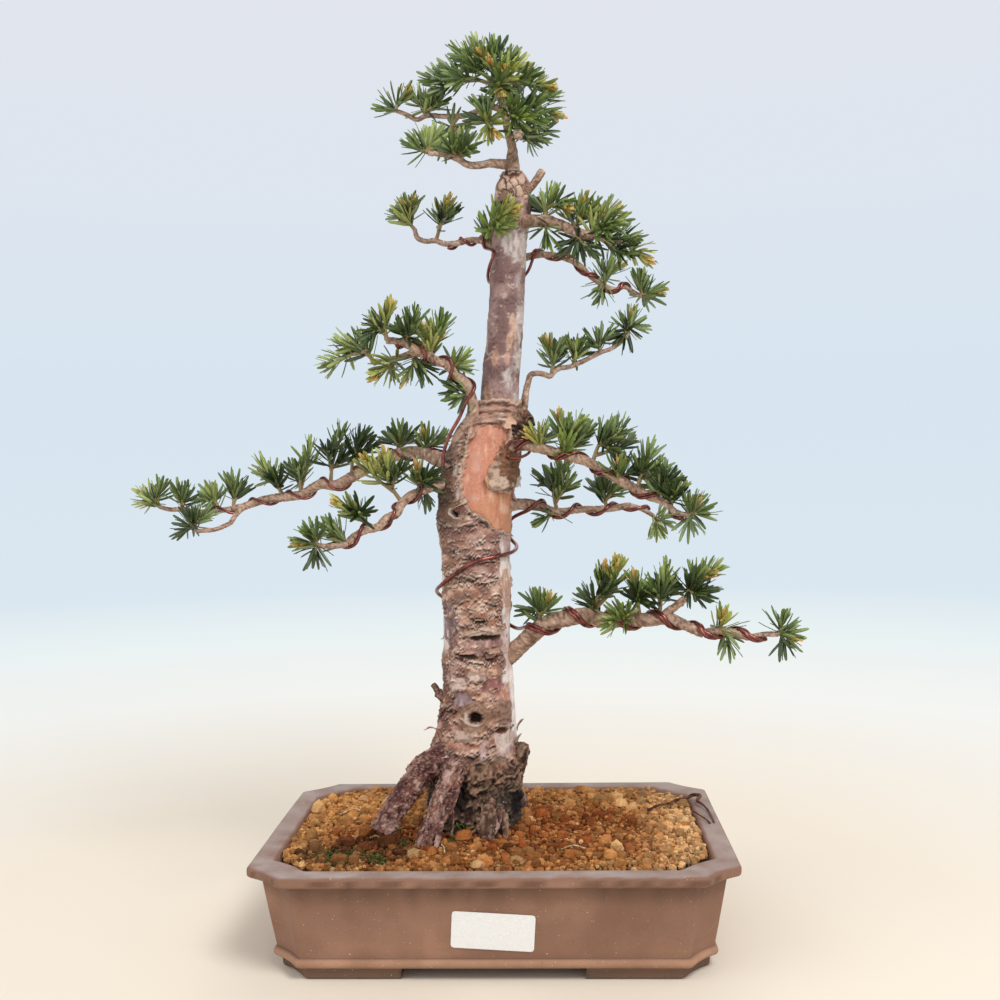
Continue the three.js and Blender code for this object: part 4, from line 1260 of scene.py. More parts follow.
        # Paler on the right flank, in patches: pale bark together with painted light on the lit side.
        right = ease(0.35, 0.85, cosine + 0.25 * noise(bare, 10, 31)) * ease(-0.4, 0.3, noise(bare, 14, 35))
        tint = painted(
            between("785954", "9a7b73", ease(-0.5, 0.5, noise(bare, 9, 21))),
            ("6a4845", ease(0.0, 0.6, noise(bare, 7, 25, 0.5)) * 0.65),
            ("c7a28c", ease(0.5, 0.75, noise(bare, 6, 27, 0.45)) * 0.8),
            ("d8c4b4", ease(0.5, 0.85, rings) * ease(-0.1, 0.4, noise(bare, 11, 29)) * 0.7),
            ("cbbab0", right * 0.75),
        )
        # Painted shade and light: darker where the rows two up stand higher, under an overhang, and paler
        # where they lie lower, on edges that face up.
        step = np.roll(relief, -2, axis=0) - relief
        # The flaky plates' borders sink and are darkened as painted shade in the cracks.
        loose = painted(between("c4a38d", "84624f", ease(0.6, 0.2, plates.draw)),
                        ("38251d", ease(0.1, 0.02, plates.inside)))
        tint = painted(
            tint * (1 + 0.14 * grain)[..., None],
            ("402820", ease(0.15, 0.4, step) * 0.7),
            ("dcc6b3", ease(-0.15, -0.4, step) * 0.55),
            (loose, flaky),
        )
        relief, tint = marked(bare, relief, tint, ease(0.25, -0.1, sine), YOUNG_MARKS)
        return closed_rings(bare + xyz(cosine, sine, 0) * relief[..., None], tint, bulge=1.0)

    def loose_sheets(self) -> Shape:
        """Thin curled sheets: the ones of CURLS, and many small ones scattered over the crust.

        Returns:
            All the sheets as one shape.
        """
        rng = np.random.default_rng(SEED)
        z = rng.uniform(self.foot + 42, self.collar - 20, self.loose)
        angle = rng.uniform(0, TAU, self.loose)
        middle, radius = self.core(z)
        place = xyz(middle[:, 0] + radius * np.cos(angle), middle[:, 1] + radius * np.sin(angle), z)
        clear = (np.sin(angle) > 0) | (depth_inside(place[:, [0, 2]], BARE_WOOD) < -2)
        kept = (self.skin(place, angle) < 0.3) & clear
        count = int(kept.sum())
        shades = between("7a5748", "d2b4a4", rng.uniform(0, 1, count) ** 0.7)
        wild = (z[kept], angle[kept], rng.uniform(1.8, 5, count), rng.uniform(2, 5.5, count),
                rng.uniform(0.7, 1.9, count), np.radians(rng.normal(0, 28, count)), shades)
        x, z, half, length, bend, turn = (
            np.array([getattr(one, key) for one in CURLS], float)
            for key in ("x", "z", "half", "length", "bend", "turn"))
        middle, radius = self.core(z)
        angle = -np.arccos(np.clip((x - middle[:, 0]) / radius, -1, 1))
        shades = np.array([colour(one.shade) for one in CURLS])
        placed = (z, angle, half, length, bend, np.radians(turn), shades)
        return self.sheets(*(np.concatenate(pair) for pair in zip(wild, placed)), rng)

    def sheets(self, z: Array, angle: Array, half: Array, length: Array,
               bend: Array, turn: Array, shade: Array, rng: Draws) -> Shape:
        """Closed thin sheets that bend away from the trunk like the arc of a circle.

        At share v of its length a sheet has gone length/bend * sin(bend v) along the trunk
        and length/bend * (1 - cos(bend v)) outwards. Its edges are ragged by random draws.

        Args:
            z: heights of the middles of the held edges.
            angle: their turns round the trunk.
            half: half widths.
            length: lengths from the held edge to the free one.
            bend: angles in radians through which the sheets bend.
            turn: angles by which they are turned on the trunk.
            shade: colours.
            rng: the source of draws.

        Returns:
            All the sheets as one shape.
        """
        count, rows, columns = len(z), 6, 7
        middle, radius = self.core(z)
        out = xyz(np.cos(angle), np.sin(angle), 0)
        side = xyz(-np.sin(angle), np.cos(angle), 0)
        down = np.array([0, 0, -1.0])
        cosine, sine = np.cos(turn)[:, None], np.sin(turn)[:, None]
        side, down = cosine * side - sine * down, sine * side + cosine * down
        root = np.column_stack([middle, z]) + out * (radius + 0.1)[:, None]
        v = np.linspace(0, 1, rows)[None, :, None]
        u = np.linspace(-1, 1, columns)[None, None, :]
        v = v + 0.13 * rng.normal(size=(count, 1, columns)) * v**2
        u = u * (1 - 0.25 * v * rng.uniform(0, 1, (count, 1, 1)) + 0.07 * rng.normal(size=(count, rows, 1)))
        arc = bend[:, None, None] * v
        reach = (length / bend)[:, None, None]
        wide, along, lift = u * half[:, None, None], reach * np.sin(arc), reach * (1 - np.cos(arc))
        lift = lift - (wide**2) / (2 * radius[:, None, None])
        sheet = sum(amount[..., None] * axis[:, None, None]
                    for amount, axis in ((wide, side), (along, down), (lift, out))) + root[:, None, None]
        behind = (np.sin(arc)[..., None] * down[:, None, None]
                  - np.cos(arc)[..., None] * out[:, None, None]) * self.thickness
        size = rows * columns
        points = np.stack([sheet, sheet + behind], axis=1)
        starts = (2 * size * np.arange(count))[:, None, None]
        quads = slab_quads(rows, columns)[:, ::-1] + starts
        speckle = rng.uniform(0.78, 1.12, (count, size, 1)) * (0.75 + 0.3 * v.reshape(count, size, 1))
        upper = shade[:, None] * speckle
        tint = np.concatenate([upper, blend(upper, colour("7a4632"), 0.6)], axis=1)
        return Shape(points, tint, quads)


# Limbs


@dataclass(frozen=True)
class Limb:
    """A root, stub or branch: points along its middle, radii spread evenly over them, and its bark.

    The bark has three tones, furrows as a share of the radius, and a grain: below one the
    furrows run along the limb, above one they ring it. The end bulges by a share of the
    last radius, or is hollowed where that is below nought.
    """

    points: tuple
    radii: tuple
    tones: tuple[str, str, str] = ("b08c75", "80604d", "d3b7a2")
    furrow: float = 0.1
    sides: int = 18
    step: float = 1.4
    wood_end: int | None = None
    grain: float = 1.9
    end: float = 0.3

    def dress(self, radius: float) -> Callable[[Array], Pair]:
        """The relief and tint of this limb's bark, from places on the straightened limb.

        Args:
            radius: the limb's mean radius.

        Returns:
            A function from places to their relief and tint.
        """
        first, second, pale = (colour(code) for code in self.tones)

        def bark(places: Array) -> Pair:
            """Relief and tint at places on the straightened bare limb.

            Args:
                places: places on the straightened limb.

            Returns:
                The relief and the tint.
            """
            stretched = places * (1, 1, self.grain) + 0.6 * noise_vectors(places, 4, 8)
            broad = noise(places, 2.4 * radius + 2, 51)
            furrow = noise(stretched, 0.18 * radius + 0.9, 14)
            fine = noise(stretched, 0.04 * radius + 0.6, 16)
            scale = noise(places, 1.3, 18, 0.5 * self.grain + 0.5)
            relief = radius * self.furrow * (0.8 * broad + 0.8 * furrow + 0.5 * fine + 0.4 * scale)
            streak = noise(places, 0.2 * radius + 0.7, 57, 0.3)
            height = 0.6 * furrow + 0.5 * fine + 0.5 * scale + 0.4 * noise(places, 6, 53)
            depth = min(1, 6 * self.furrow)
            stretch = noise(places, 0.8 * radius + 2, 59, 0.5) + 0.4 * streak
            peel = 2 * layered_noise(places * (1, 1, 0.7), 0.4 * radius + 2, 55, 2)
            part = peel - np.floor(peel)
            tint = painted(
                first,
                (second * (1 - 0.6 * depth), ease(0.1, -0.7, height)),
                (pale, ease(0.1, 0.8, height) * (0.9 - 0.35 * depth)),
            )
            tint = painted(
                tint * (1 + 0.15 * scale)[..., None],
                (blend(pale, first, 0.35), ease(0.15, 0.6, stretch) * depth * 0.6),
                (second, ease(-0.05, -0.5, stretch) * depth * 0.7),
                # painted shade just past each sheet's edge, where the relief drops
                (second * 0.4, ease(0.12, 0.03, part) * depth * 0.9),
                (pale, ease(0.86, 0.96, part) * depth * 0.6),
            )
            return relief + radius * self.furrow * 0.8 * ease(0, 0.15, part) * part, tint

        return bark

    def shape(self) -> Shape:
        """The limb's bare wood, up to where a leafy stem goes on."""
        last = self.wood_end if self.wood_end is not None else len(self.points) - 1
        return self.stretch(0, last)

    def stretch(self, first: int, last: int) -> Shape:
        """The limb between two of its points.

        Args:
            first: number of the first point.
            last: number of the last one.

        Returns:
            The closed stretch.
        """
        points, radii = part_of(self.points, self.radii, first, last)
        line = smooth_line(points, self.step)
        dress = self.dress(float(np.mean(radii)))
        return tube(line, line.widths(tuple(radii)), self.sides, dress, self.end)


OLD_ROOT = ("744a3f", "4a2a27", "c6a596")
PALE_ROOT = ("805447", "4d2e29", "ceb0a1")
SPLINTER = ("6b4a3a", "3b271e", "b3967c")

BRANCHES: dict[str, Limb] = {
    "leader": Limb(
        ((17, 0, 499), (17, 0, 512), (17, -1, 518), (15, -2, 526), (13, -2, 537), (11, -1, 546),
         (8, 0, 556), (6, 2, 567)),
        (5.5, 3.4, 2.6, 2.4, 2.2, 1.9)),
    "low_right": Limb(
        ((5, 1, 176), (21, -4, 191), (32, -8, 201), (41, -11, 205), (50, -14, 207), (61, -17, 209),
         (72, -20, 206), (87, -24, 207), (101, -28, 207), (114, -31, 208), (124, -34, 204),
         (135, -37, 199), (144, -39, 201), (156, -41, 199), (163, -42, 197), (172, -43, 199),
         (181, -43, 199)),
        (6, 5.4, 5.2, 4.8, 3.4, 2.8, 2, 1.5), wood_end=11),
    "low_right_fork": Limb(
        ((107, -30, 207), (114, -31, 213), (119, -33, 217), (125, -36, 223)), (3, 2.4, 2)),
    "long_left": Limb(
        ((-20, -2, 308), (-36, 4, 313), (-44, 8, 317), (-53, 12, 318), (-64, 16, 317), (-75, 20, 313),
         (-87, 24, 308), (-100, 28, 301), (-111, 32, 296), (-122, 35, 297), (-136, 39, 290),
         (-152, 43, 288), (-166, 46, 286), (-179, 49, 282), (-189, 51, 280), (-199, 53, 279),
         (-214, 55, 278), (-227, 57, 280), (-236, 58, 280), (-244, 59, 282)),
        (6, 4.2, 4, 3.4, 3, 2.2, 1.7, 1.4), wood_end=14),
    "long_left_lower": Limb(
        ((-176, 48, 283), (-183, 48, 279), (-189, 44, 270), (-199, 41, 266), (-211, 40, 265)),
        (2, 1.7, 1.4), wood_end=2),
    "front_left": Limb(
        ((-14, -4, 298), (-29, -12, 296), (-38, -16, 295), (-46, -20, 292), (-53, -24, 289),
         (-58, -27, 284), (-61, -30, 278), (-67, -33, 275), (-72, -36, 270), (-80, -39, 268),
         (-87, -43, 264), (-91, -46, 260), (-97, -49, 259), (-106, -52, 259)),
        (3.6, 3, 2.8, 2.6, 2.2, 1.6), wood_end=11),
    "front_right": Limb(
        ((4, -6, 319), (15, -14, 321), (23, -18, 321), (36, -22, 318), (49, -26, 314), (56, -28, 312),
         (64, -31, 309), (76, -35, 302), (91, -40, 293), (101, -44, 287), (110, -47, 284),
         (117, -50, 277), (126, -52, 275)),
        (4.4, 3.2, 3, 3, 2.4, 1.8), wood_end=10),
    "back_right": Limb(
        ((5, 1, 281), (17, 6, 282), (28, 11, 281), (43, 17, 276), (59, 24, 277), (79, 31, 277),
         (94, 37, 279), (103, 41, 276), (111, 45, 271)),
        (5, 3.4, 2.4, 2.2, 1.8, 1.5), wood_end=6),
    "upper_left": Limb(
        ((-14, 0, 308), (-21, -4, 321), (-19, -6, 330), (-14, -9, 337), (-11, -12, 345),
         (-13, -14, 355), (-16, -16, 363), (-22, -19, 368), (-27, -22, 374), (-35, -25, 377),
         (-40, -28, 381), (-47, -31, 384), (-55, -35, 388), (-64, -39, 389)),
        (7, 4.2, 3.4, 2.9, 2.6, 2)),
    "upper_left_lower": Limb(
        ((-37, -27, 379), (-49, -22, 382), (-59, -17, 380), (-68, -12, 379), (-77, -8, 377)),
        (2.4, 1.9, 1.6, 1.4), wood_end=2),
    "thin_right": Limb(
        ((11, 3, 334), (21, 6, 344), (23, 8, 355), (25, 9, 364), (27, 10, 369), (33, 13, 370),
         (40, 16, 368), (45, 19, 373), (54, 23, 375), (63, 27, 379), (75, 32, 385), (83, 36, 388),
         (90, 39, 393), (95, 41, 398)),
        (3, 1.9, 1.8, 1.7, 1.5, 1.3), wood_end=6),
    "high_left": Limb(
        ((14, 2, 444), (8, 4, 449), (6, 6, 452), (1, 9, 456), (-5, 12, 460), (-14, 15, 461),
         (-19, 17, 460), (-30, 21, 460), (-38, 24, 463), (-44, 26, 463), (-50, 28, 466),
         (-52, 29, 472)),
        (3, 2.3, 2, 1.8, 1.6), wood_end=6),
    "high_right": Limb(
        ((16, 0, 470), (28, -6, 469), (37, -10, 468), (44, -14, 466), (52, -17, 462),
         (57, -20, 459), (63, -23, 456), (69, -26, 454)),
        (5, 3.6, 3.2, 2.6)),
    "high_right_lower": Limb(
        ((14, 2, 442), (24, 7, 447), (30, 10, 449), (38, 13, 450), (44, 16, 450), (51, 18, 448),
         (57, 21, 446), (63, 23, 442), (68, 25, 437), (73, 27, 433), (79, 30, 430), (86, 32, 428),
         (92, 34, 430), (98, 36, 427), (103, 38, 424)),
        (2.8, 1.9, 1.8, 1.6, 1.4), wood_end=8),
    "crown_left": Limb(
        ((17, 0, 507), (8, -6, 507), (2, -8, 507), (-5, -11, 505), (-12, -14, 505), (-18, -17, 508),
         (-24, -19, 510), (-32, -21, 511), (-37, -22, 511)),
        (3.4, 2.4, 2, 1.6), wood_end=2),
    "crown_far_left": Limb(
        ((12, -1, 543), (4, 3, 547), (-4, 7, 546), (-14, 11, 544), (-28, 16, 545), (-42, 20, 547),
         (-48, 22, 545), (-55, 24, 549), (-62, 25, 552)),
        (2.2, 1.8, 1.6, 1.4), wood_end=1),
}

ROOTS_AND_STUBS = (
    Limb(((-22, -6, 124), (-42, -17, 111), (-56, -28, 98), (-66, -36, 86), (-73, -40, 73)),
         (9, 8.2, 7.4, 7), OLD_ROOT, 0.13, 72, 0.7, grain=0.8, end=-0.5),
    Limb(((-20, -10, 126), (-26, -26, 110), (-33, -38, 93), (-39, -46, 79), (-43, -51, 64)),
         (8, 7.4, 6.2, 3.6), PALE_ROOT, 0.13, 64, 0.7, grain=0.4),
    Limb(((-27, -27, 109), (-24, -34, 103)), (4.4, 2.6), PALE_ROOT, 0.2, 20, 0.8),
    Limb(((-34, -39, 92), (-44, -45, 79), (-50, -50, 66)),
         (3.4, 2.6, 1.5), PALE_ROOT, 0.2, 18, 0.9, grain=0.25),
    Limb(((-36, -42, 88), (-35, -50, 76), (-37, -58, 66)), (3, 2, 1.2), PALE_ROOT, 0.2, 16, 0.9, grain=0.25),
    Limb(((-30, -35, 93), (-27, -40, 84), (-28, -43, 72)),
         (2, 1.2, 0.7), PALE_ROOT, 0.2, 12, 0.9, grain=0.25),
    Limb(((-44, -20, 117), (-52, -20, 112), (-57, -19, 107)), (4.4, 3.6, 2.6), PALE_ROOT, 0.25, 24, 0.8),
    Limb(((-31, -9, 121), (-39, -10, 121), (-43, -10, 116)), (4, 3.4, 2.6), OLD_ROOT, 0.25, 24, 0.7),
    Limb(((-6, -12, 98), (-4, -28, 80), (-5, -38, 64)), (11, 8, 5), SPLINTER, 0.2, 48, 0.9, grain=0.2),
    Limb(((1, -24, 84), (-1, -34, 74), (-7, -42, 64)), (4, 2.6, 1.4), PALE_ROOT, 0.25, 16, 0.9, grain=0.25),
    Limb(((3, -22, 82), (6, -32, 72), (8, -38, 64)), (4, 2.4, 1.2), SPLINTER, 0.25, 16, 0.9, grain=0.25),
    Limb(((-7, -30, 76), (-17, -39, 71), (-24, -43, 69)), (1.2, 0.7, 0.4), PALE_ROOT, 0.2, 8, 1.0, grain=0.3),
    Limb(((0, 8, 96), (10, 20, 78), (16, 30, 62)), (10, 8, 5), OLD_ROOT, 0.2, 40, 1.0, grain=0.25),
    Limb(((-24, 8, 100), (-40, 22, 80), (-48, 30, 62)), (10, 7.5, 5), OLD_ROOT, 0.2, 40, 1.0, grain=0.25),
    Limb(((-28, 0, 148), (-36, -2, 154), (-42, -2, 162)), (4.2, 3, 1.4), SPLINTER, 0.3, 24, 0.8, grain=0.3),
    Limb(((-30, -3, 152), (-40, -4, 156)), (2.6, 1.8), OLD_ROOT, 0.3, 18, 0.8, grain=0.3),
    Limb(((8, -4, 98), (14.5, -5, 110), (18.5, -6, 122)),
         (6.5, 5, 3.4), SPLINTER, 0.2, 32, 0.8, grain=0.3, end=-0.6),
    Limb(((10, 0, 90), (16, 0, 104), (21.5, -2, 117)), (6, 3.2, 0.8), SPLINTER, 0.26, 24, 0.9, grain=0.3),
    Limb(((20, -4, 484), (29, -6, 491), (37, -9, 501)), (3.4, 2.6, 2.4), sides=20, step=0.9),
    Limb(((-17, -16, 281), (-20, -25, 280)), (5.5, 3), PALE_ROOT, 0.2, 24, 0.8, end=-0.4),
    Limb(((10, -1, 330), (19, -4, 336), (27, -4, 340)), (9, 8, 4.5), SPLINTER, 0.3, 48, 0.6, grain=0.8),
    Limb(((15, -8, 327), (23, -9, 329), (29, -9, 331)), (4.6, 3.6, 2), SPLINTER, 0.34, 24, 0.7, grain=0.8),
)


# Wires


@dataclass(frozen=True)
class Coil:
    """A stretch of wire wound round a branch: where it starts and ends, its turns and first angle."""

    around: str
    start: float
    end: float
    turns: float
    phase: float

    def points(self, wire_radius: float, shift: float) -> Array:
        """The helix: round the branch's line at its radius plus the wire's.

        Args:
            wire_radius: half the wire's thickness.
            shift: turns by which a second strand lies beside the first.

        Returns:
            Points along the helix, sixteen to a turn.
        """
        branch = BRANCHES[self.around]
        line = smooth_line(branch.points, 0.8)
        steps = round(self.turns * 16)
        run = np.linspace(self.start, self.end, steps + 1)
        place = run * (len(line.points) - 1)
        rows = np.arange(len(line.points))
        middle, normal, across = (sampled(place, rows, values)
                                  for values in (line.points, line.normals, line.across))
        angle = -TAU * (self.phase + shift + self.turns * np.arange(steps + 1) / steps)
        radius = np.interp(place, rows, line.widths(branch.radii)) + wire_radius + 0.25
        ring = np.cos(angle)[:, None] * normal + np.sin(angle)[:, None] * across
        return middle + radius[:, None] * ring


@dataclass(frozen=True)
class Wire:
    """A wire: its radius and its route of coils and of points where it crosses the trunk."""

    name: str
    radius: float
    route: tuple
    twins: tuple[tuple[int, float], ...] = ()
    loops: tuple = ()
    sides: int = 10
    step: float = 1.3

    def strand(self, points: Array) -> Shape:
        """One round strand along the points.

        Args:
            points: the wire's middle.

        Returns:
            The closed strand.
        """
        line = smooth_line(points, self.step)
        radii = np.full(len(line.points), self.radius)
        plain = colour("9a5440")

        def smooth(surface: Array) -> Pair:
            """No relief and one tint."""
            return np.zeros(surface.shape[:-1]), np.broadcast_to(plain, surface.shape)

        return tube(line, radii, self.sides, smooth)

    def shape(self) -> Shape:
        """The wire with the second strands that lie beside its coils.

        Returns:
            All the strands as one shape.
        """
        legs = [leg.points(self.radius, 0) if isinstance(leg, Coil) else np.array([leg], float)
                for leg in self.route]
        strands = [self.strand(np.concatenate(legs))]
        for index, shift in self.twins:
            strands.append(self.strand(self.route[index].points(self.radius, shift)))
        strands += [self.strand(np.array(loop, float)) for loop in self.loops]
        return joined(strands)


WIRES = (
    Wire("wire_long_left", 0.95, (
        Coil("long_left", 0.93, 0.1, 7, 0.58),
        (-30, 14, 318), (-24, 23, 321), (-12, 29, 324), (2, 27, 325), (14, 17, 324), (19.5, 4, 320),
        Coil("front_right", 0.12, 0.97, 4, 0.08)), twins=((7, 0.1),), loops=(
            ((26, -16.5, 321), (25.5, -17.5, 316.5), (18, -18, 312.8), (12, -16.5, 313.5), (10, -16.5, 318),
             (12.5, -19, 323), (18, -21, 324), (23.5, -20.5, 322), (26, -17, 319.5)),)),
    Wire("wire_low_right", 1.3, (
        Coil("low_right", 0.96, 0.16, 5.5, 0.67),
        (14, 15, 197), (5, 21.5, 201), (-8, 25.5, 206), (-22, 24.5, 212), (-34, 15, 218),
        (-38.4, 1, 224), (-34, -14, 230), (-22.5, -24, 239), (-11, -27, 246), (4, -22, 249),
        (13.5, -9, 251), (15.5, 5, 254), (10.5, 17, 260), (11, 18.5, 270),
        Coil("back_right", 0.16, 0.96, 3.5, 0.08)), twins=((0, 0.09),)),
    Wire("wire_upper_left", 1.2, (
        Coil("upper_left", 0.95, 0.42, 3, 0.08),
        (-20, -17, 340), (-27, -16, 328), (-31, -16, 316), (-32, -18, 307),
        Coil("front_left", 0.26, 0.93, 3, 0.42))),
    Wire("wire_high", 1.05, (
        Coil("high_left", 0.62, 0.26, 2, 0.2),
        (4, -8.5, 448), (1, -7, 440), (-0.6, 0, 434), (1, 10.2, 431), (12, 16.2, 431), (21, 13.5, 434),
        (26.5, 8, 439),
        Coil("high_right_lower", 0.16, 0.93, 3.5, 0.9)), twins=((8, 0.1),)),
)


# Foliage


class Tone(Enum):
    """The colours of a shoot's needles: their upper side, their underside."""

    DARK = ("20300c", "4d5e31")
    MID = ("455a22", "84945a")
    LIGHT = ("6f8536", "a5ad68")
    YOUNG = ("8d9238", "b3b464")
    BUD = ("4b6124", "8a985a")


D, M, L, Y, B = Tone.DARK, Tone.MID, Tone.LIGHT, Tone.YOUNG, Tone.BUD


@dataclass(frozen=True)
class Spray:
    """A leafy stem: its root and the tips of its shoots, each with its tone."""

    root: tuple[float, float, float]
    tips: tuple[tuple[float, float, float, Tone], ...]


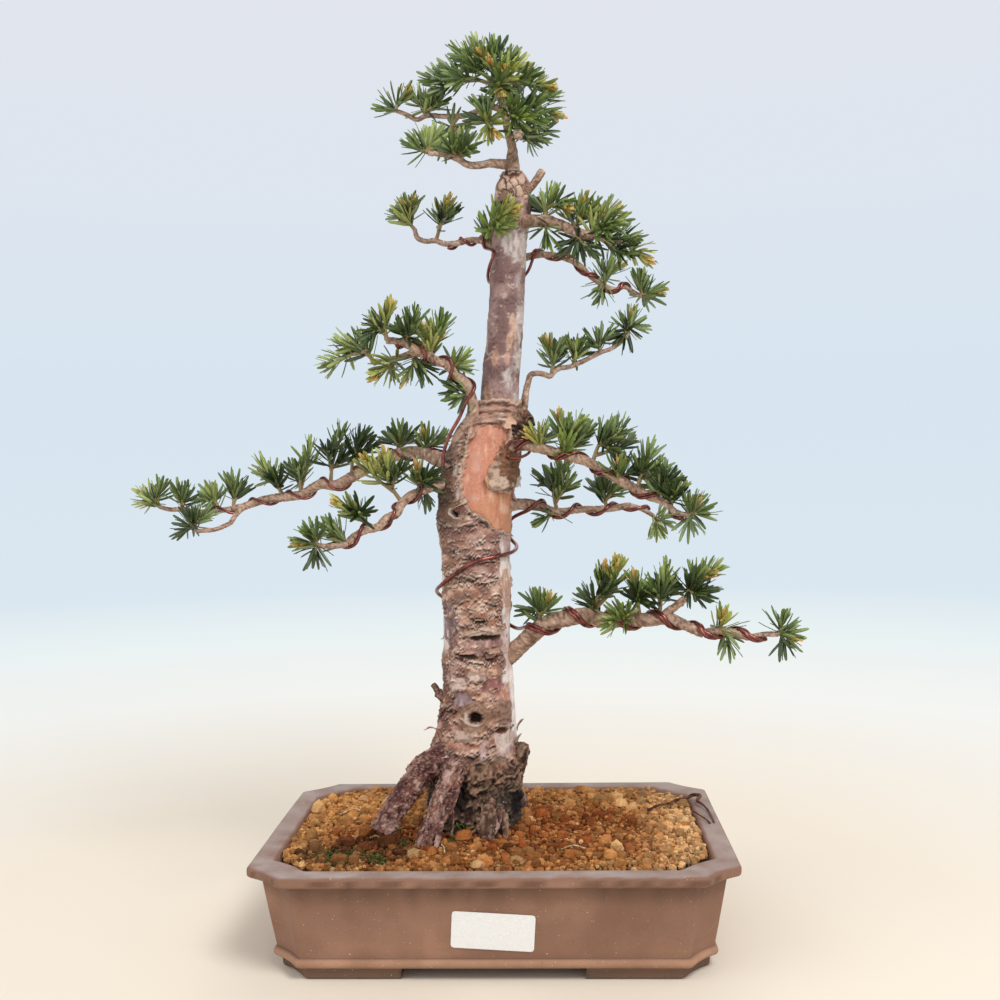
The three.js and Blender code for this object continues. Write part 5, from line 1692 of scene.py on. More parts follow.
SPRAYS: dict[str, tuple[Spray, ...]] = {
    "low_right_bud": (Spray((31, -8, 202), ((30, -9, 219, M), (36, -15, 218, B), (26, -3, 211, D))),),
    "low_right_rise": (
        Spray((70, -19, 210), ((61, -15, 221, D), (73, -22, 237, B), (81, -26, 241, Y), (72, -12, 224, D),
              (77, -31, 227, D))),
    ),
    "low_right_middle": (
        Spray((95, -27, 211), ((92, -30, 232, B), (103, -18, 224, D), (95, -38, 221, D))),
        Spray((108, -30, 212), ((109, -26, 229, D), (112, -32, 239, L), (103, -37, 227, M),
              (117, -20, 225, D))),
    ),
    "low_right_fork": (
        Spray((125, -36, 222), ((131, -30, 234, D), (136, -38, 236, B), (143, -33, 239, L),
              (131, -46, 225, D), (141, -26, 224, D))),
    ),
    "low_right_fan": (Spray((86, -26, 206), ((87, -40, 212, L), (76, -34, 205, L))),),
    "low_right_tip": (
        Spray((143, -39, 201), ((146, -42, 208, Y), (150, -38, 191, M))),
        Spray((180, -43, 200), ((188, -43, 198, B), (183, -47, 207, M), (186, -38, 191, D))),
    ),
    "long_left_tip": (
        Spray((-244, 59, 282), ((-253, 60, 287, L), (-241, 54, 295, M), (-259, 68, 290, Y))),
        Spray((-227, 57, 280), ((-228, 52, 293, M), (-225, 64, 290, D))),
        Spray((-199, 53, 280), ((-203, 50, 292, L), (-210, 60, 287, M))),
        Spray((-188, 51, 281), ((-189, 48, 300, M), (-184, 57, 293, D))),
    ),
    "long_left_lower": (
        Spray((-211, 40, 265), ((-215, 37, 275, D), (-207, 46, 275, M), (-220, 42, 265, D))),
    ),
    "long_left_outer": (
        Spray((-150, 43, 289), ((-164, 38, 311, L), (-153, 31, 301, D), (-163, 51, 302, M))),
        Spray((-137, 39, 290), ((-135, 29, 309, M), (-131, 43, 323, L), (-147, 52, 307, D))),
    ),
    "long_left_crest": (
        Spray((-115, 34, 298), ((-106, 34, 333, M), (-114, 25, 320, D), (-105, 45, 317, D))),
        Spray((-99, 28, 302), ((-89, 26, 331, D), (-85, 37, 322, D), (-93, 17, 317, D))),
    ),
    "long_left_inner": (
        Spray((-64, 16, 318), ((-63, 9, 331, M), (-58, 27, 327, D), (-72, 22, 326, D))),
        Spray((-46, 9, 318), ((-45, 3, 327, B), (-35, 19, 326, M))),
    ),
    "front_left_root": (
        Spray((-45, -19, 293), ((-48, -26, 305, B), (-43, -10, 288, D), (-37, -30, 301, D))),
    ),
    "front_left_yellow": (
        Spray((-59, -27, 287), ((-67, -34, 313, Y), (-78, -39, 310, Y), (-64, -22, 301, M),
              (-56, -41, 305, D))),
    ),
    "front_left_bend": (
        Spray((-77, -38, 269), ((-94, -42, 284, Y), (-86, -33, 278, B), (-82, -50, 280, D))),
    ),
    "front_left_tip": (
        Spray((-91, -46, 260), ((-99, -43, 266, B), (-102, -51, 270, M))),
        Spray((-106, -52, 259), ((-116, -56, 261, B), (-110, -50, 253, D), (-110, -62, 267, M))),
    ),
    "front_right_root": (
        Spray((33, -21, 318), ((29, -26, 326, Y), (37, -14, 326, M))),
        Spray((52, -27, 313), ((46, -30, 336, B), (50, -20, 330, M), (57, -35, 334, L), (62, -27, 328, M))),
        Spray((45, -25, 315), ((48, -37, 322, L),)),
    ),
    "front_right_cone": (
        Spray((66, -31, 309), ((78, -28, 331, M), (85, -36, 331, M), (89, -23, 321, D), (76, -40, 318, D))),
    ),
    "front_right_crest": (
        Spray((82, -38, 298), ((82, -43, 306, B), (91, -31, 303, D))),
        Spray((94, -41, 291), ((102, -38, 316, M), (97, -48, 306, D), (107, -33, 303, B))),
    ),
    "front_right_tip": (
        Spray((105, -45, 285), ((111, -43, 302, M), (113, -51, 295, D), (103, -36, 293, M))),
        Spray((114, -48, 281), ((119, -47, 291, L), (114, -56, 287, D))),
        Spray((126, -52, 275), ((128, -51, 280, B), (132, -57, 277, M), (127, -46, 270, M))),
    ),
    "back_right_rise": (
        Spray((43, 17, 278), ((43, 14, 300, D), (51, 20, 310, B), (35, 26, 297, D), (52, 8, 296, M))),
        Spray((40, 15, 276), ((34, 12, 271, M),)),
    ),
    "back_right_middle": (Spray((78, 31, 277), ((78, 30, 296, D), (71, 38, 292, D), (85, 22, 290, M))),),
    "back_right_tip": (Spray((111, 45, 271), ((113, 42, 262, L), (120, 51, 266, M))),),
    "upper_left_tip": (
        Spray((-64, -39, 389), ((-62, -42, 407, Y), (-72, -45, 393, D), (-70, -33, 402, M))),
        Spray((-54, -34, 387), ((-45, -38, 404, M), (-52, -26, 398, M), (-55, -45, 394, D))),
    ),
    "upper_left_elbow": (
        Spray((-38, -27, 379), ((-33, -29, 390, Y), (-42, -21, 396, Y), (-29, -35, 399, M))),
        Spray((-26, -20, 373), ((-18, -24, 376, L), (-22, -10, 370, D))),
    ),
    "upper_left_neck": (Spray((-14, -14, 357), ((-21, -17, 353, M), (-25, -7, 359, D))),),
    "upper_left_lower": (
        Spray((-77, -8, 377), ((-83, -12, 394, M), (-93, -3, 387, D), (-98, -9, 390, L),
              (-106, -10, 376, L))),
    ),
    "upper_left_star": (
        Spray((-60, -16, 380), ((-71, -25, 369, Y), (-64, -10, 371, M))),
        Spray((-49, -22, 382), ((-53, -20, 369, B), (-43, -14, 369, D))),
    ),
    "thin_right_stem": (
        Spray((41, 16, 370), ((39, 12, 388, B), (48, 21, 387, M), (44, 28, 385, D))),
        Spray((56, 24, 376), ((57, 19, 387, L), (63, 31, 385, D))),
        Spray((75, 32, 386), ((70, 27, 390, M), (81, 39, 396, M))),
        Spray((95, 41, 398), ((96, 40, 409, B), (101, 46, 404, M), (90, 35, 394, D))),
    ),
    "high_left_stem": (
        Spray((-52, 29, 472), ((-59, 28, 486, Y), (-65, 35, 483, M), (-53, 20, 486, B))),
        Spray((-37, 24, 463), ((-29, 22, 486, Y), (-34, 31, 478, M), (-26, 14, 478, D))),
    ),
    "high_left_root": (
        Spray((1, 9, 456), ((-2, 3, 470, M), (7, -9, 473, M), (16, -22, 472, Y), (9, -18, 462, L))),
    ),
    "high_right_root": (
        Spray((38, -11, 468), ((43, -14, 483, L), (35, -4, 479, D), (50, -21, 475, B))),
        Spray((39, -12, 466), ((39, -14, 457, M),)),
    ),
    "high_right_middle": (Spray((55, -19, 460), ((63, -22, 475, B), (55, -9, 474, M), (67, -29, 469, L))),),
    "high_right_end": (
        Spray((67, -25, 455), ((72, -24, 466, Y), (85, -35, 461, L), (81, -16, 472, B), (75, -40, 454, M))),
        Spray((69, -26, 454), ((82, -27, 451, D), (94, -22, 453, M), (100, -30, 440, Y),
              (88, -37, 441, D))),
        Spray((59, -20, 458), ((60, -17, 448, D), (67, -26, 446, D), (53, -9, 450, D))),
    ),
    "high_right_lower_tip": (
        Spray((78, 29, 430), ((79, 26, 441, M), (87, 33, 443, B), (75, 31, 424, M))),
        Spray((103, 38, 424), ((114, 38, 427, B), (107, 45, 423, M), (104, 33, 433, M))),
    ),
    "crown_left_stem": (
        Spray((-37, -22, 511), ((-39, -20, 519, L), (-44, -28, 514, M), (-34, -15, 524, L))),
        Spray((-18, -17, 508), ((-16, -11, 520, L), (-12, -24, 513, M), (-21, -25, 514, M))),
    ),
    "crown_far_left_stem": (
        Spray((-62, 25, 552), ((-68, 24, 553, M), (-57, 19, 560, B))),
        Spray((-43, 20, 547), ((-39, 17, 557, L), (-50, 26, 561, L), (-33, 9, 551, M))),
        Spray((-19, 12, 544), ((-31, 9, 522, M), (-22, 18, 538, B))),
    ),
    "crown_top": (
        Spray((6, 2, 567), ((5, 0, 584, M), (9, 9, 586, D), (0, -10, 575, B))),
        Spray((4, 2, 563), ((-7, 4, 587, L), (-14, 14, 584, L), (-18, -1, 581, M), (-9, -12, 569, M))),
    ),
    "crown_far": (
        Spray((7, 0, 560), ((-27, 7, 572, M), (-38, 13, 569, M), (-31, 3, 558, D), (-19, -10, 559, M))),
    ),
    "crown_front": (Spray((8, -1, 555), ((5, -18, 567, B), (14, -21, 562, Y), (11, -30, 548, B))),),
    "crown_right": (
        Spray((7, 1, 561), ((17, -3, 578, M), (23, 10, 574, Y), (30, -6, 562, M), (39, 2, 559, Y))),
    ),
    "crown_side": (Spray((12, -1, 542), ((43, 10, 554, M), (44, -3, 540, B), (33, -14, 543, M))),),
    "crown_big": (
        Spray((13, -2, 535), ((24, -26, 530, L), (34, -19, 530, M), (18, -27, 539, M))),
        Spray((2, -18, 532), ((5, -26, 524, Y), (-3, -24, 539, M), (-6, -12, 534, D))),
    ),
    "crown_low": (
        Spray((15, -2, 526), ((37, 0, 525, M), (41, 13, 535, D), (29, 15, 527, M), (24, -18, 523, M))),
    ),
    "crown_back": (
        Spray((11, 0, 546), ((19, 22, 562, D), (7, 25, 569, D), (0, 27, 558, D), (25, 27, 550, D))),
    ),
}

OUTER_STEMS = {
    "low_right_tip": "low_right",
    "long_left_tip": "long_left",
    "long_left_lower": "long_left_lower",
    "front_left_tip": "front_left",
    "front_right_tip": "front_right",
    "back_right_tip": "back_right",
    "upper_left_lower": "upper_left_lower",
    "thin_right_stem": "thin_right",
    "high_left_stem": "high_left",
    "high_right_lower_tip": "high_right_lower",
    "crown_left_stem": "crown_left",
    "crown_far_left_stem": "crown_far_left",
}


@dataclass
class Needles:
    """Flat blunt needles, each with a rib on its upper side and a pale underside."""

    roots: Array
    out: Array
    up: Array
    length: Array
    width: Array
    curl: Array
    sickle: Array
    top: Array
    under: Array

    STATIONS = (0.0, 0.28, 0.68, 0.93)
    BREADTHS = (0.34, 0.94, 1.0, 0.66)
    # Painted shade along a needle, station by station: darkest at the root inside the spray, lighter towards
    # the tip.
    PAINTED_SHADING = (0.5, 0.8, 1.06, 1.16)
    PALENESS = (0.3, 0.12, 0.3, 1)
    SECTION = ((-1, 0), (0, 0.34), (1, 0), (0, -0.24))

    def shape(self) -> Shape:
        """The needles: rings of four points at four stations, closed by the point.

        A station lies at its share of the length along out, bent towards up by curl and
        aside by sickle times the square of that share.

        Returns:
            All the needles as one shape.
        """
        count = len(self.roots)
        out = unit(self.out)[:, None, None]
        side = unit(np.cross(self.out, self.up))[:, None, None]
        up = np.cross(side, out)
        length = self.length[:, None, None, None]
        width = (self.width / 2)[:, None, None, None]
        along = np.array(self.STATIONS)[None, :, None, None]
        breadth = np.array(self.BREADTHS)[None, :, None, None]
        section = np.array(self.SECTION)
        bend = (up * self.curl[:, None, None, None] + side * self.sickle[:, None, None, None]) * length
        middle = self.roots[:, None, None] + out * length * along + bend * along**2
        ring = middle + side * width * breadth * section[None, None, :, :1] + up * section[None, None, :, 1:]
        tip = self.roots + (out * length + bend)[:, 0, 0]
        points = np.concatenate([ring.reshape(count, -1, 3), tip[:, None]], axis=1)
        foot = ease(0.3, 0.0, np.array(self.STATIONS))[:, None] * 0.3
        shade = blend(self.top[:, None, None], self.under[:, None, None],
                      np.clip(np.array(self.PALENESS) + foot, 0, 1)[None])
        shade = shade * np.array(self.PAINTED_SHADING)[None, :, None, None]
        # The tip point is lightened to match the painted shade's last station.
        shades = np.concatenate([shade.reshape(count, -1, 3), self.top[:, None] * 1.15], axis=1)
        quads = np.concatenate([grid_quads(4, 4), [[3, 2, 1, 0]]])
        last = 12 + np.arange(4)
        ends = np.stack([last, 12 + (np.arange(4) + 1) % 4, np.full(4, 16)], axis=1)
        start = (points.shape[1] * np.arange(count))[:, None, None]
        return Shape(points, shades, quads + start, ends + start)


@dataclass
class Foliage:
    """All the leafy stems, one piece for each spray node."""

    needle: float = 17.2
    width: float = 2.45
    leafy: float = 18.0
    count: int = 23
    first_tilt: float = 66
    last_tilt: float = 12
    tilt_spread: float = 9
    upward: float = 0.24
    shortening: float = 0.4
    lengths: tuple[float, float] = (0.76, 1.08)
    widths: tuple[float, float] = (0.82, 1.1)
    stem_radii: tuple[float, ...] = (1.5, 1.1, 0.8)
    bow: float = 0.12
    lift: float = 0.14
    bud_scales: int = 9
    stem_sides: int = 7

    def stem(self, points: Array, radii: tuple[float, ...], green: float) -> Shape:
        """A thin stem, brown where it is old and green where it is young.

        Args:
            points: the stem's middle.
            radii: its radii, spread evenly over it.
            green: how green its tip is, from 0 to 1.

        Returns:
            The closed stem.
        """
        line = smooth_line(points, 2.2)
        brown, fresh = colour("9a7a58"), colour("8c9a50")

        def bark(places: Array) -> Pair:
            """Small knots, and a colour that turns green towards the tip."""
            share = np.linspace(0, 1, places.shape[0])[:, None] * green + 0 * places[..., 0]
            return 0.18 * noise(places, 2.4, 5), blend(brown, fresh, share)

        return tube(line, line.widths(radii), self.stem_sides, bark)

    def paths(self, spray: Spray, rng: Draws) -> list[Array]:
        """The spray's stems: one to its first tip, and the others forking off it.

        Args:
            spray: the spray.
            rng: the source of draws.

        Returns:
            Three points for each stem.
        """
        root = np.array(spray.root, float)
        tips = [np.array(tip[:3], float) for tip in spray.tips]
        reach = tips[0] - root
        bow = self.bow * np.linalg.norm(reach) * unit(rng.normal(size=3))
        main = np.array([root, root + 0.5 * reach + bow, tips[0]])
        paths = [main]
        for tip in tips[1:]:
            fork = spline(main, np.array([rng.uniform(0.15, 0.5)]))[0]
            gap = tip - fork
            lift = self.lift * np.linalg.norm(gap) * unit(rng.normal(size=3) + [0, 0, 0.4])
            paths.append(np.array([fork, fork + 0.5 * gap + lift, tip]))
        return paths

    def shoot(self, path: Array, tone: Tone, rng: Draws) -> list[Needles]:
        """The needles of one shoot, on a spiral that closes towards its tip.

        Needles leave at golden-angle turns. Their tilt from the shoot falls from its foot
        to its tip, they all lean upwards, and the ones at the tip are shorter.

        Args:
            path: three points along the shoot.
            tone: its colours.
            rng: the source of draws.

        Returns:
            The needles, and the bud where the shoot has one.
        """
        line = smooth_line(path, 1.0)
        length = line.length
        leafy = min(self.leafy, 0.9 * length + 3)
        count = round(self.count * (0.55 + 0.45 * leafy / self.leafy))
        way = np.sort(rng.uniform(0, 1, count) * 0.35 + 0.65 * np.linspace(0, 1, count))
        row = np.clip((1 - (1 - way) * leafy / length), 0, 1) * (len(line.points) - 1)
        rows = np.arange(len(line.points))
        roots, tangents, normals = (sampled(row, rows, values)
                                    for values in (line.points, line.tangents, line.normals))
        tangents = unit(tangents)
        angle = GOLDEN_TURN * np.arange(count) + rng.uniform(0, TAU) + rng.normal(0, 0.35, count)
        away = np.cos(angle)[:, None] * normals + np.sin(angle)[:, None] * np.cross(tangents, normals)
        closing = (self.first_tilt - self.last_tilt) * way**1.3
        tilt = np.radians(self.first_tilt - closing + rng.normal(0, self.tilt_spread, count))
        out = np.cos(tilt)[:, None] * tangents + np.sin(tilt)[:, None] * away
        out = unit(out + np.array([0, 0, self.upward]))
        up = unit(tangents - 0.25 * away + 0.4 * rng.normal(size=(count, 3)))
        size = self.needle * (1.02 - self.shortening * way**3) * rng.uniform(*self.lengths, count)
        top, under = (np.broadcast_to(colour(code), (count, 3)) for code in tone.value)
        fresh = ease(0.5, 1.0, way) * rng.uniform(0.2, 1.0, count)
        top = blend(top, colour("8fa03c"), fresh * 0.6) * rng.uniform(0.4, 1.42, (count, 1))
        if tone is Tone.YOUNG:
            top = blend(top, colour("4d6130"), (rng.uniform(0, 1, count) < 0.35) * 0.8 * (way < 0.6))
        green = Needles(roots, out, up, size, self.width * rng.uniform(*self.widths, count),
                        rng.uniform(0.0, 0.2, count), rng.normal(0, 0.06, count), top, under)
        return [green] + ([self.bud(line, rng)] if tone in (Tone.BUD, Tone.YOUNG) else [])

    def bud(self, line: Line, rng: Draws) -> Needles:
        """A tuft of a few broad golden scales at the tip of a shoot.

        Args:
            line: the shoot's middle.
            rng: the source of draws.

        Returns:
            The scales.
        """
        count = self.bud_scales
        angle = GOLDEN_TURN * np.arange(count)
        tangent, normal = line.tangents[-1], line.normals[-1]
        away = np.cos(angle)[:, None] * normal + np.sin(angle)[:, None] * np.cross(tangent, normal)
        tilt = np.radians(np.linspace(46, 6, count) + rng.normal(0, 6, count))
        out = np.cos(tilt)[:, None] * tangent + np.sin(tilt)[:, None] * away
        roots = line.points[-1] + tangent * np.linspace(-2, 1.5, count)[:, None]
        shade = between("d6a55e", "bfa95c", rng.uniform(0, 1, count))
        return Needles(roots, out, tangent + 0.01 * away, rng.uniform(6.5, 10, count), np.full(count, 2.3),
                       np.full(count, 0.15), np.zeros(count), shade, shade * 0.9)

    def pieces(self, material: Material) -> list[Piece]:
        """One piece for each spray node, with its stems, needles and buds.

        Args:
            material: what they are made of.

        Returns:
            The pieces.
        """
        shapes: dict[str, list[Shape]] = {}
        seeds = itertools.count(SEED, 101)
        for node, sprays in SPRAYS.items():
            parts = shapes.setdefault(node, [])
            for spray in sprays:
                rng = np.random.default_rng(next(seeds))
                for path, tip in zip(self.paths(spray, rng), spray.tips):
                    parts.append(self.stem(path, self.stem_radii, 1.0))
                    parts += [needles.shape() for needles in self.shoot(path, tip[3], rng)]
        for node, branch in OUTER_STEMS.items():
            limb = BRANCHES[branch]
            shapes[node].append(limb.stretch(limb.wood_end, len(limb.points) - 1))
        return [Piece(f"foliage_{node}", joined(parts), material, "needles", (node,), smooth=False)
                for node, parts in shapes.items()]


# The pot


@dataclass
class Pot:
    """A rectangular clay pot with cut corners that bow inwards, a lip, a foot band and four feet.

    Each step of a profile is a height, how far it lies inside the lip, and its share of
    the lip's corner cut along the long side.
    """

    width: float = 300
    depth: float = 216
    corner_x: float = 23
    corner_y: float = 21
    bow: float = 2.4
    arris: float = 1.6
    side_steps: int = 18
    foot_start: tuple[float, float] = (56, 42)
    drain_x: float = 72
    drain_radius: float = 11
    profile: tuple = (
        (6.2, 17.5, .78), (6.2, 15.4, .78), (6.6, 14.3, .78), (7.4, 13.3, .78), (8.6, 12.7, .78),
        (9.8, 12.6, .78), (10.8, 12.85, .78), (11.6, 13.4, .78), (12.1, 14.2, .79), (12.4, 14.7, .79),
        (13.2, 14.4, .79), (20, 13.3, .81), (28, 12, .825), (35, 10.9, .84), (46, 9.2, .87),
        (57.2, 7.5, .9), (57.9, 7.2, .91), (58.3, 6, .93), (58.6, 4.4, .95), (59, 2.6, .98),
        (59.5, 1.3, 1), (60.4, 0.4, 1), (61.5, 0.05, 1), (63.5, 0, 1), (65, 0.1, 1), (65.9, 0.6, 1),
        (66.4, 1.4, 1), (66.5, 2.4, 1), (66.5, 6, 1), (66.4, 10, 1), (66.3, 12.6, 1), (65.9, 13.8, 1),
        (65, 14.7, 1), (63.5, 15.4, 1), (60, 16.6, 1), (50, 20, 1), (30, 24, 1), (16, 27, 1),
    )
    foot_profile: tuple = (
        (8, 17.2), (4, 17.3), (0.4, 17.5), (-0.8, 17.9), (-1.5, 18.8), (-1.5, 25), (-1.5, 31.4),
        (-0.8, 32.5), (0.2, 33), (8, 33),
    )

    def quarter(self, inset: float, start: tuple[float, float], cut: float) -> Array:
        """The outline of the far right quarter, from the long side to the short one.

        The corner is a quadratic curve bowed inwards, and the two arrises beside it are
        small quadratic curves too.

        Args:
            inset: how far the outline lies inside the lip.
            start: the long side's first X and the short side's last Y.
            cut: its share of the lip's corner cut.

        Returns:
            The outline's points.
        """
        x, y = self.width / 2 - inset, self.depth / 2 - inset
        corner_x = self.corner_x * cut
        first, last = np.array([x - corner_x, y]), np.array([x, y - self.corner_y])
        control = np.array([x - corner_x / 2 - self.bow, y - self.corner_y / 2 - self.bow])

        def bent(a: Array, b: Array, c: Array, way: Array) -> Array:
            """A quadratic curve from a to c with control point b."""
            way = way[:, None]
            return (1 - way) ** 2 * a + 2 * way * (1 - way) * b + way**2 * c

        middle = bent(first, control, last, np.linspace(0.07, 0.93, 9))
        before, after = first - (self.arris, 0), last - (0, self.arris)
        turn = np.linspace(0, 1, 5)
        long_side = np.linspace((start[0], y), before, self.side_steps, endpoint=False)
        short_side = np.linspace(after, (x, start[1]), self.side_steps + 1)[1:]
        return np.concatenate([
            long_side, bent(before, first, middle[0], turn), middle[1:-1],
            bent(middle[-1], last, after, turn), short_side,
        ])

    def outline(self, inset: float, cut: float) -> Array:
        """The whole outline, anticlockwise from the middle of the right side.

        Args:
            inset: how far the outline lies inside the lip.
            cut: its share of the lip's corner cut.

        Returns:
            The outline's points.
        """
        path = self.quarter(inset, (0.0, 0.0), cut)
        back = path[::-1]
        turned = ((back, 1, 1), (path, -1, 1), (back, -1, -1), (path, 1, -1))
        return np.concatenate([part[:-1] * (x, y) for part, x, y in turned])

    def clay(self, points: Array) -> Pair:
        """Small unevenness and tint: greyer on the rim, streaked under it, dark at the foot.
        The rim's top is pale wear with a painted sheen; under the lip and in the foot band's
        crease the tint is darkened as painted shade.

        Args:
            points: places on the pot.

        Returns:
            The relief and the tint.
        """
        z = points[..., 2]
        rim = ease(61, 65.8, z)
        # The rim's top: pale grey wear together with a painted sheen.
        wear_and_sheen = ease(65.6, 66.5, z + 0.6 * noise(points, 7, 10))
        smear = ease(0.1, 0.5, noise(points, 2.4, 12, 0.08)) * ease(60.8, 61.6, z) * ease(65, 63.6, z)
        drips = ease(0.15, 0.5, noise(points, 4.5, 5, 0.1)) * ease(40, 59, z) * (1 - rim)
        return 0.22 * noise(points, 38, 4) + 0.06 * noise(points, 9, 6), painted(
            between("a57c65", "8f6a56", ease(-0.5, 0.5, noise(points, 45, 3))),
            ("87614d", ease(0.1, 0.6, noise(points, 26, 4, 2.5)) * 0.5),
            ("845f4f", rim * 0.75),
            ("b0a29b", wear_and_sheen * (0.75 + 0.25 * noise(points, 12, 8))),
            ("5f3d31", smear * 0.75),
            ("594a3c", ease(8.6, 5.5, z + 1.5 * noise(points, 14, 14)) * 0.75),
            ("bd9273", ease(12.4, 11.4, z) * ease(5, 8, z) * 0.6),
            ("634a3e", drips * 0.6),
            # painted shade under the lip's overhang
            ("4c372d", ease(56.5, 57.8, z) * ease(60, 58.8, z) * 0.8),
            # painted shade in the crease at the top of the foot band
            ("4f392e", ease(12.9, 12.45, z) * ease(12.0, 12.35, z) * 0.6),
        )

    def walls(self) -> Shape:
        """The wall from the foot band over the lip to the inside, and the floor.

        Returns:
            The wall and the floor as one shape.
        """
        rings = np.stack([xyz(*self.outline(inset, cut).T, z) for z, inset, cut in self.profile])
        relief, tint = self.clay(rings)
        relief[[0, -1]] = 0
        rings = rings + unit(rings * (1, 1, 0)) * relief[..., None]
        wall = Shape(rings, tint, grid_quads(*rings.shape[:2]))
        return joined([wall, self.floor(rings[0], rings[-1], tint[0].mean(axis=0))])

    def floor(self, below: Array, above: Array, shade: Array) -> Shape:
        """The floor: for each half, rings from the drain hole out to the half's own edge.

        Every point of a half's edge goes with the point of the hole's circle that lies in
        the same direction from the hole's middle.

        Args:
            below: the floor's edge on its underside.
            above: its edge on the upper side.
            shade: the clay's colour there.

        Returns:
            Both halves as one shape.
        """
        count = len(below)
        quarter = count // 4
        halves = []
        for side, first in ((1, -quarter), (-1, quarter)):
            members = np.arange(first, first + 2 * quarter + 1) % count
            middle = np.array([side * self.drain_x, 0.0])
            layers = []
            for ring in (below, above):
                edge = ring[members]
                seam = np.linspace(edge[-1], edge[0], 14)[1:-1]
                edge = np.concatenate([edge, seam])
                direction = unit(edge[:, :2] - middle)
                hole = np.column_stack([middle + self.drain_radius * direction, edge[:, 2]])
                layers += [edge, hole] if ring is below else [hole, edge]
            grid = np.stack(layers)
            tint = np.broadcast_to(shade * 0.8, grid.shape)
            halves.append(Shape(grid, tint, grid_quads(*grid.shape[:2])[:, ::-1]))
        return joined(halves)

    def feet(self) -> Shape:
        """Four corner feet: the foot's section carried along the outline of each corner.

        Returns:
            The feet as one shape.
        """
        cut = self.profile[0][2]
        path = np.stack([xyz(*self.quarter(inset, self.foot_start, cut).T, z)
                         for z, inset in self.foot_profile], axis=1)
        feet = []
        for x, y in ((1, 1), (-1, 1), (-1, -1), (1, -1)):
            grid = path * (x, y, 1)
            if x * y < 0:
                grid = grid[:, ::-1]
            feet.append(closed_rings(grid, self.clay(grid)[1]))
        return joined(feet)

    def shape(self) -> Shape:
        """The whole pot."""
        return joined([self.walls(), self.feet()])


# The soil


